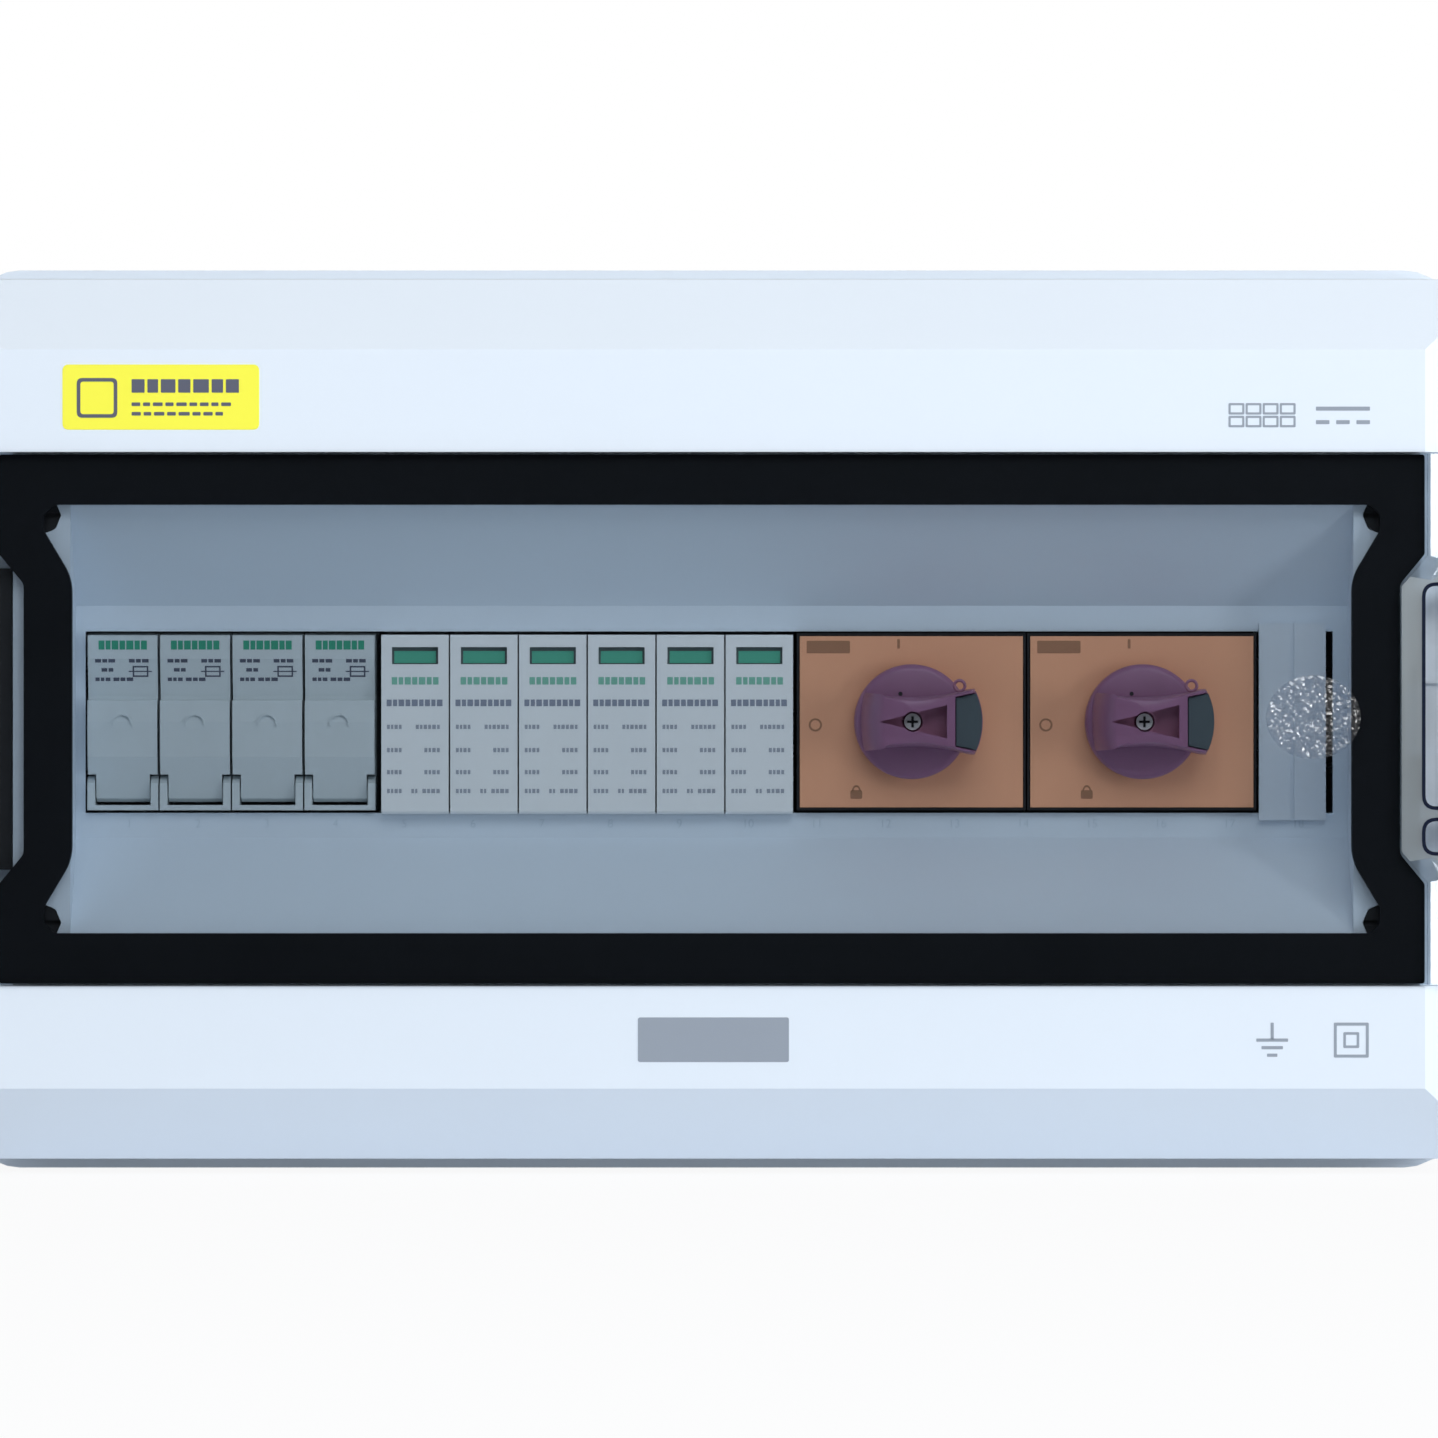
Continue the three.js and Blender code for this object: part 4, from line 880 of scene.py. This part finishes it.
# A surge cartridge's painted shade, a dark plate on the flag window's floor, and its flag, each as half its
# width, back, front, lowest and highest.
FLAG_PAINTED_SHADE_BOX = (5.85, 84.3, 84.7, 14.65, 18.95)
FLAG_BOX = (5.3, 84.6, 84.85, 14.9, 18.0)

# An isolator's print, from its knob's middle, each as left, right, lowest, highest and corner radius.
ON_BAR = (-3.6, -2.9, 18.6, 21, 0.2)
PADLOCK = (-15.5, -12.5, -19.6, -17.4, 0.4)
RATING_FIELD = (-26.6, -15.6, 17.4, 20.6, 0.3)
OFF_X, OFF_Z, OFF_OUTER, OFF_INNER = -24.4, -0.8, 1.7, 1.2
SHACKLE_X, SHACKLE_Z = -14, -17.6

# The knob's dial, each ring as radius and depth.
DIAL_RINGS = [
    (14.2, KNOB_BACK), (14.6, KNOB_BACK + 0.5), (14.6, 89.4), (14.4, 90.2), (13.9, 90.8), (13.0, 91.15),
]
# The knob's grip has a blunt end at the left, a waist, and a wide round end at the right. Each of its
# levels is how far the outline moves in, how much further its blunt end does, and depth.
GRIP_LEFT, GRIP_LEFT_HALF, GRIP_BULGE = -12.0, 7.4, 1.0
GRIP_WAIST_X, GRIP_WAIST_HALF = 2, 4.6
GRIP_RIGHT_HALF, GRIP_REACH = 8.6, 17.9
GRIP_LEVELS = [
    (-0.1, 0.0, 90.6), (-0.05, 0.1, 91.6), (0.2, 0.9, 97), (0.45, 2.1, 100.6),
    (0.7, 3.2, 102.3), (1.1, 4.2, 103.1), (1.8, 5.2, KNOB_FRONT),
]
GRIP_POINTS = 128
# What is cut out of the grip, all the way to its front.
SLIDER_SLOT = [(10.7, 6.3), (16.0, 7.45), (21, 7.45), (21, -7.45), (16.0, -7.45), (10.7, -6.3)]
CHANNEL = [(-8.5, 0), (8.6, 4.2), (8.6, -4.2)]
SLOT_FLOOR, CHANNEL_FLOOR, WELL_FLOOR, CUT_TOP = 92.5, 98.4, 96.7, 106
WELL_RADIUS = 2.6
# The cuts' own faces, which take the knob's painted shade, lie in this reach, this far behind the front and
# this near z 0.
CUT_REACH, CUT_BELOW, CUT_HALF = 9.2, 1.6, 4.4

EYE_X, EYE_D, EYE_Z, EYE_RADIUS, EYE_TUBE = 11.9, 98.5, 9.1, 1.35, 0.4
DOT_X, DOT_Z, DOT_RADIUS, DOT_BACK, DOT_FRONT = -2.9, 7.1, 0.55, 91.0, 91.25
CROSS_LONG, CROSS_SHORT, CROSS_BACK, CROSS_FRONT = 1.35, 0.3, 98.7, 99.04


def word(left, right, middle, height, letter=1.25, gap=0.32):
    """A run of small blocks that stands for a printed word, as bars for add_marks."""
    count = max(1, round((right - left + gap) / (letter + gap)))
    shares = [LETTERS[i % len(LETTERS)] for i in range(count)]
    scale = (right - left - gap * (count - 1)) / sum(shares)
    blocks = []
    for share in shares:
        blocks.append((left, left + share * scale, middle - height / 2, middle + height / 2))
        left += share * scale + gap
    return blocks


def words(rows):
    """Several words' blocks in one list."""
    return [bar for row in rows for bar in word(*row)]


def add_marks(bm, x, marks, depth_at):
    """Adds thin printed bars, each (left, right, low, high), on the face of the device at x."""
    for left, right, low, high in marks:
        sides = ((left, low), (right, low), (right, high), (left, high))
        corners = []
        for lift in (PRINT_BACK, PRINT_FRONT):
            for a, z in sides:
                corners.append(point(x + a, depth_at(z) + lift, ROW_Z + z))
        add_block(bm, corners)
    return bm


def moved(outline, x):
    """An outline moved from the origin to x on the row."""
    return [(x + a, ROW_Z + b) for a, b in outline]


def arc(x, z, radius_x, radius_z, start, end, count=14):
    """Points along an oval, between two turns in half circles."""
    turns = [math.pi * (start + (end - start) * i / (count - 1)) for i in range(count)]
    return [(x + radius_x * math.cos(t), z + radius_z * math.sin(t)) for t in turns]


def fuse_face(z):
    """Depth of the fuse carrier's label face."""
    if z > 16:
        return 85.2 + 0.3 * (z - 16) / 6
    return 82.6 + 2.6 * (z - 6.6) / 9.4


def thumb_mark(x):
    """An arched ridge where a thumb pulls the fuse carrier."""
    z = ROW_Z + THUMB_Z
    outer = arc(x, z, THUMB_OUTER, THUMB_OUTER, THUMB_START, THUMB_END)
    inner = arc(x, z, THUMB_INNER, THUMB_INNER, THUMB_END, THUMB_START)
    return add_plate(bmesh.new(), outer + inner, THUMB_BACK, THUMB_FRONT)


def fuse_holders():
    text = words(FUSE_WORDS) + FUSE_SYMBOL
    for i in range(1, 5):
        body = f"carrier_{i}"
        dress(f"fuse_body_{i}", GREY, 0.25)
        dress(f"fuse_carrier_{i}", GREY, 0.35, 3)
        dress(f"fuse_link_{i}", CERAMIC, 0.3)
        x = middle(f"fuse_carrier_{i}")
        marks = add_marks(bmesh.new(), x, text, fuse_face)
        piece(f"fuse_print_{i}", marks, PRINT, body)
        band = add_marks(bmesh.new(), x, words(FUSE_BAND), fuse_face)
        piece(f"fuse_band_{i}", band, GREEN, body)
        piece(f"thumb_mark_{i}", thumb_mark(x), GREY, body)


def surge_text():
    rows = []
    for z, right in SURGE_LINES:
        rows += word(*SURGE_LEFT, z, *SURGE_LETTER) + word(right, SURGE_RIGHT, z, *SURGE_LETTER)
    return rows + word(*SURGE_LAST_WORD, *SURGE_LETTER)


def surge_face(_):
    """Depth of the surge cartridge's face, the same at every height."""
    return CARTRIDGE_FRONT


def box_on_row(x, half, back, front, low, high):
    return add_box(bmesh.new(), x - half, x + half, back, front, ROW_Z + low, ROW_Z + high)


def surge_protectors():
    dress("surge_base_1", PALE, 0.3)
    dress("surge_base_2", PALE, 0.3)
    text = surge_text()
    for i in range(1, 7):
        body = f"cartridge_{i}"
        dress(f"surge_cartridge_{i}", PALE, 0.3, 2)
        x = middle(f"surge_cartridge_{i}")
        marks = add_marks(bmesh.new(), x, text, surge_face)
        piece(f"surge_print_{i}", marks, PRINT_PALE, body)
        title = add_marks(bmesh.new(), x, words(SURGE_TITLE), surge_face)
        piece(f"surge_title_{i}", title, PRINT_MID, body)
        band = add_marks(bmesh.new(), x, words(SURGE_BAND), surge_face)
        piece(f"surge_band_{i}", band, GREEN_PALE, body)
        # Painted shade: a dark plate on the window's floor, showing round the flag and most above it.
        shade = box_on_row(x, *FLAG_PAINTED_SHADE_BOX)
        piece(f"flag_painted_shade_{i}", shade, FLAG_PAINTED_SHADE, body, soft=0.05)
        flag = box_on_row(x, *FLAG_BOX)
        piece(f"surge_flag_{i}", flag, FLAG, body, soft=0.1)


def isolator_print(x):
    """The usual on bar, off ring and padlock, and a blank rating field."""
    marks = bmesh.new()
    back = PLATE_FRONT + PRINT_BACK
    front = PLATE_FRONT + PRINT_FRONT

    def field(left, right, low, high, radius):
        add_plate(marks, rectangle(x + left, x + right, ROW_Z + low, ROW_Z + high, radius), back, front)

    def disc(radius):
        return circle(x + OFF_X, ROW_Z + OFF_Z, radius, 24)

    field(*ON_BAR)
    add_plate(marks, disc(OFF_OUTER), back, front, [disc(OFF_INNER)])
    field(*PADLOCK)
    shackle = arc(x + SHACKLE_X, ROW_Z + SHACKLE_Z, 1.1, 1.5, 0, 1)
    shackle += arc(x + SHACKLE_X, ROW_Z + SHACKLE_Z, 0.7, 1.0, 1, 0)
    add_plate(marks, shackle, back, front)
    field(*RATING_FIELD)
    return marks


def grip_outline():
    """The grip's outline about the knob's middle."""
    right = math.sqrt(GRIP_REACH ** 2 - GRIP_RIGHT_HALF ** 2)
    start = Vector((GRIP_LEFT, GRIP_LEFT_HALF))
    bend = Vector((GRIP_WAIST_X, GRIP_WAIST_HALF))
    side = curved(start, bend, Vector((right, GRIP_RIGHT_HALF)), 12)
    angle = math.asin(GRIP_RIGHT_HALF / GRIP_REACH)
    tip = []
    for i in range(1, 12):
        turn = angle * (1 - i / 6)
        tip.append(Vector((GRIP_REACH * math.cos(turn), GRIP_REACH * math.sin(turn))))
    back = [Vector((p.x, -p.y)) for p in reversed(side)]
    blunt = []
    for share in (i / 4 for i in range(-3, 4)):
        blunt.append(Vector((GRIP_LEFT - GRIP_BULGE + GRIP_BULGE * share ** 2, GRIP_LEFT_HALF * share)))
    return [(p.x, p.y) for p in side + tip + back + blunt]


def cast(outline, centre, count, inset):
    """The outline read at equal turns about a middle point, moved in by inset."""
    found = []
    for i in range(count):
        turn = 2 * math.pi * i / count
        ray = Vector((math.cos(turn), math.sin(turn)))
        best = 0.0
        for j in range(len(outline)):
            a = Vector(outline[j - 1]) - Vector(centre)
            b = Vector(outline[j]) - Vector(centre)
            edge = b - a
            cross = ray.x * edge.y - ray.y * edge.x
            if abs(cross) < 1e-9:
                continue
            along = (a.x * edge.y - a.y * edge.x) / cross
            share = (a.x * ray.y - a.y * ray.x) / cross
            if along > 0 and -1e-6 <= share <= 1 + 1e-6:
                best = max(best, along)
        reach = best - inset
        found.append((centre[0] + ray.x * reach, centre[1] + ray.y * reach))
    return found


def grip_ring(inset, left):
    """The grip's outline moved in by inset, with its blunt end moved in by left more."""
    shaped = []
    for a, b in cast(grip_outline(), (GRIP_WAIST_X, 0), GRIP_POINTS, inset):
        share = min(1, max(0, (-4 - a) / 8))
        shaped.append((a + left * share * share, b))
    return shaped


def knob_dial(i, x):
    rings = [(moved(circle(0, 0, radius, 72), x), d) for radius, d in DIAL_RINGS]
    bm = bmesh.new()
    add_rings(bm, rings)
    obj = piece(f"knob_dial_{i}", bm, MAROON, f"knob_{i}", replaces=(f"switch_knob_{i}",))
    smooth(obj)


def knob_grip(i, x):
    """The raised grip, with a slot for the slider, a pointed channel and a well for the screw."""
    bm = bmesh.new()
    add_rings(bm, [(moved(grip_ring(inset, left), x), d) for inset, left, d in GRIP_LEVELS])
    obj = piece(f"knob_grip_{i}", bm, MAROON, f"knob_{i}")
    smooth(obj)
    obj.data.materials.append(MAROON_PAINTED_SHADE)
    well = circle(0, 0, WELL_RADIUS, 32)
    for outline, depth in ((SLIDER_SLOT, SLOT_FLOOR), (CHANNEL, CHANNEL_FLOOR), (well, WELL_FLOOR)):
        cut_away(obj, add_plate(bmesh.new(), moved(outline, x), depth, CUT_TOP))
    # The faces inside the cuts take the maroon with painted shade.
    for polygon in obj.data.polygons:
        spot = polygon.center
        a, d, b = spot.x / MM - x, -spot.y / MM, spot.z / MM - ROW_Z
        if Vector((a, b)).length < CUT_REACH and d < KNOB_FRONT - CUT_BELOW and abs(b) < CUT_HALF:
            polygon.material_index = 1
    smooth(obj)


def knob_details(i, x):
    """The padlock eye, in the maroon with painted shade, the dot on the dial, and the cross in the screw, a
    black cross of painted shade.
    """
    body = f"knob_{i}"
    eye = bmesh.new()
    add_torus(eye, x + EYE_X, EYE_D, ROW_Z + EYE_Z, EYE_RADIUS, EYE_TUBE)
    # The eye takes the maroon with painted shade too.
    piece(f"padlock_eye_{i}", eye, MAROON_PAINTED_SHADE, body)
    dot = add_plate(bmesh.new(), moved(circle(DOT_X, DOT_Z, DOT_RADIUS, 16), x), DOT_BACK, DOT_FRONT)
    piece(f"knob_dot_{i}", dot, BLACK, body)
    # Painted shade: a flat black cross in place of the shade in the screw's cross recess.
    cross = bmesh.new()
    for a, b in ((CROSS_LONG, CROSS_SHORT), (CROSS_SHORT, CROSS_LONG)):
        add_plate(cross, moved([(a, b), (-a, b), (-a, -b), (a, -b)], x), CROSS_BACK, CROSS_FRONT)
    piece(f"screw_cross_painted_shade_{i}", cross, BLACK, body)


def isolators():
    for i in (1, 2):
        dress(f"switch_body_{i}", BLACK, 0.3)
        dress(f"switch_plate_{i}", ORANGE, 0.25)
        x = middle(f"knob_screw_{i}")
        piece(f"switch_print_{i}", isolator_print(x), BROWN, "enclosure")
        knob_dial(i, x)
        knob_grip(i, x)
        knob_details(i, x)
        dress(f"knob_screw_{i}", BRIGHT_STEEL, 0.35, 3)
        dress(f"switch_shaft_{i}", STEEL, 0.1)
        dress(f"lock_slider_{i}", SLATE, 0.4, 2, join=False)


# ------------------------------------------------------------------ studio

# The picture is SEEN_WIDTH across at the cover's seam with the base, SEAM_DISTANCE before the wall.
CAMERA_X, CAMERA_DISTANCE = 0.0018, 2.4
SENSOR_WIDTH = 36
SEAM_DISTANCE = 0.065
SEEN_WIDTH = 0.3687

LIGHT_AIM = Vector((0, -0.08, 0))
PLAIN = (1, 1, 1)
# Each as name, place, width and height, power and colour.
LIGHTS = [
    ("key", (0.35, -1.8, 1.3), (1.8, 0.95), 24.5, PLAIN),
    ("low fill", (0.0, -1.7, -0.95), (1.6, 0.7), 3, (0.95, 0.98, 1)),
    ("left soft", (-2.3, -0.7, 0.4), (1.2, 1.2), 8, PLAIN),
    ("right soft", (2.3, -0.15, 0.4), (1.2, 1.2), 12, PLAIN),
    ("right strip", (1.9, -1.55, 0.05), (0.34, 1.0), 14, PLAIN),
]

# The surroundings: where behind the camera they turn dark, how dark, and how their strength grows with
# height.
DARK_FROM, DARK_SHARE = (-0.985, -0.94), 0.02
HEIGHTS, STRENGTHS = (-0.6, 0.8), (0.20, 0.42)

FLOOR_COLOR = (0.74, 0.79, 0.86)
FLOOR_GLOW = 0.92
FLOOR_HALF, FLOOR_GAP = 12, 0.0002


def camera():
    data = bpy.data.cameras.new("camera")
    data.sensor_width = SENSOR_WIDTH
    data.lens = SENSOR_WIDTH * (CAMERA_DISTANCE - SEAM_DISTANCE) / SEEN_WIDTH
    obj = bpy.data.objects.new("camera", data)
    obj.location = (CAMERA_X, -CAMERA_DISTANCE, 0)
    obj.rotation_euler = (math.radians(90), 0, 0)
    bpy.context.scene.collection.objects.link(obj)
    bpy.context.scene.camera = obj


def area_light(name, place, size, power, color):
    data = bpy.data.lights.new(name, "AREA")
    data.shape = "RECTANGLE"
    data.size, data.size_y = size
    data.energy = power
    data.color = color
    obj = bpy.data.objects.new(name, data)
    obj.location = place
    aim = LIGHT_AIM - Vector(place)
    obj.rotation_euler = aim.to_track_quat("-Z", "Y").to_euler()
    bpy.context.scene.collection.objects.link(obj)


def surroundings():
    """White to the camera. What lights the box is softer, brighter above, and dark behind the camera."""
    world = bpy.data.worlds.new("studio")
    world.use_nodes = True
    nodes, links = world.node_tree.nodes, world.node_tree.links
    seen = nodes["Background"]
    seen.inputs["Color"].default_value = (1, 1, 1, 1)
    lit = nodes.new("ShaderNodeBackground")
    coordinates = nodes.new("ShaderNodeTexCoord")
    split = nodes.new("ShaderNodeSeparateXYZ")
    links.new(coordinates.outputs["Generated"], split.inputs["Vector"])
    mask = spread(nodes, links, split.outputs["Y"], DARK_SHARE, 1, DARK_FROM)
    height = spread(nodes, links, split.outputs["Z"], *STRENGTHS, HEIGHTS)
    strength = nodes.new("ShaderNodeMath")
    strength.operation = "MULTIPLY"
    links.new(mask, strength.inputs[0])
    links.new(height, strength.inputs[1])
    links.new(strength.outputs["Value"], lit.inputs["Strength"])
    ray = nodes.new("ShaderNodeLightPath")
    mix = nodes.new("ShaderNodeMixShader")
    links.new(ray.outputs["Is Camera Ray"], mix.inputs["Fac"])
    links.new(lit.outputs["Background"], mix.inputs[1])
    links.new(seen.outputs["Background"], mix.inputs[2])
    links.new(mix.outputs["Shader"], nodes["World Output"].inputs["Surface"])
    bpy.context.scene.world = world


def floor():
    """A pale floor that the box stands on, white to the camera but for the box's faint shadow."""
    material, nodes, links, shader = new_material("pale_floor")
    shader.inputs["Base Color"].default_value = (*FLOOR_COLOR, 1)
    shader.inputs["Specular IOR Level"].default_value = 0.1
    links.new(spread(nodes, links, surface_noise(nodes, links, 3), 0.75, 0.85), shader.inputs["Roughness"])
    glow = nodes.new("ShaderNodeEmission")
    glow.inputs["Strength"].default_value = 1
    ray = nodes.new("ShaderNodeLightPath")
    share = nodes.new("ShaderNodeMath")
    share.operation = "MULTIPLY"
    share.inputs[1].default_value = FLOOR_GLOW
    links.new(ray.outputs["Is Camera Ray"], share.inputs[0])
    mix = nodes.new("ShaderNodeMixShader")
    links.new(share.outputs["Value"], mix.inputs["Fac"])
    links.new(shader.outputs["BSDF"], mix.inputs[1])
    links.new(glow.outputs["Emission"], mix.inputs[2])
    links.new(mix.outputs["Shader"], nodes["Material Output"].inputs["Surface"])

    bm = bmesh.new()
    bmesh.ops.create_grid(bm, x_segments=2, y_segments=2, size=FLOOR_HALF)
    mesh = bpy.data.meshes.new("floor")
    bm.to_mesh(mesh)
    bm.free()
    obj = bpy.data.objects.new("floor", mesh)
    obj.location = (0, 0, CAD_BOX[0][2] - FLOOR_GAP)
    mesh.materials.append(material)
    obj.visible_glossy = False
    obj.visible_shadow = False
    bpy.context.scene.collection.objects.link(obj)


def studio():
    for light in LIGHTS:
        area_light(*light)
    surroundings()
    floor()
    bpy.context.scene.view_settings.view_transform = "Standard"


camera()
studio()
enclosure()
module_numbers()
cover_graphics()
seam_lip()
cut_out_lip()
fuse_holders()
surge_protectors()
isolators()
door()
gasket()
crystal_pad()
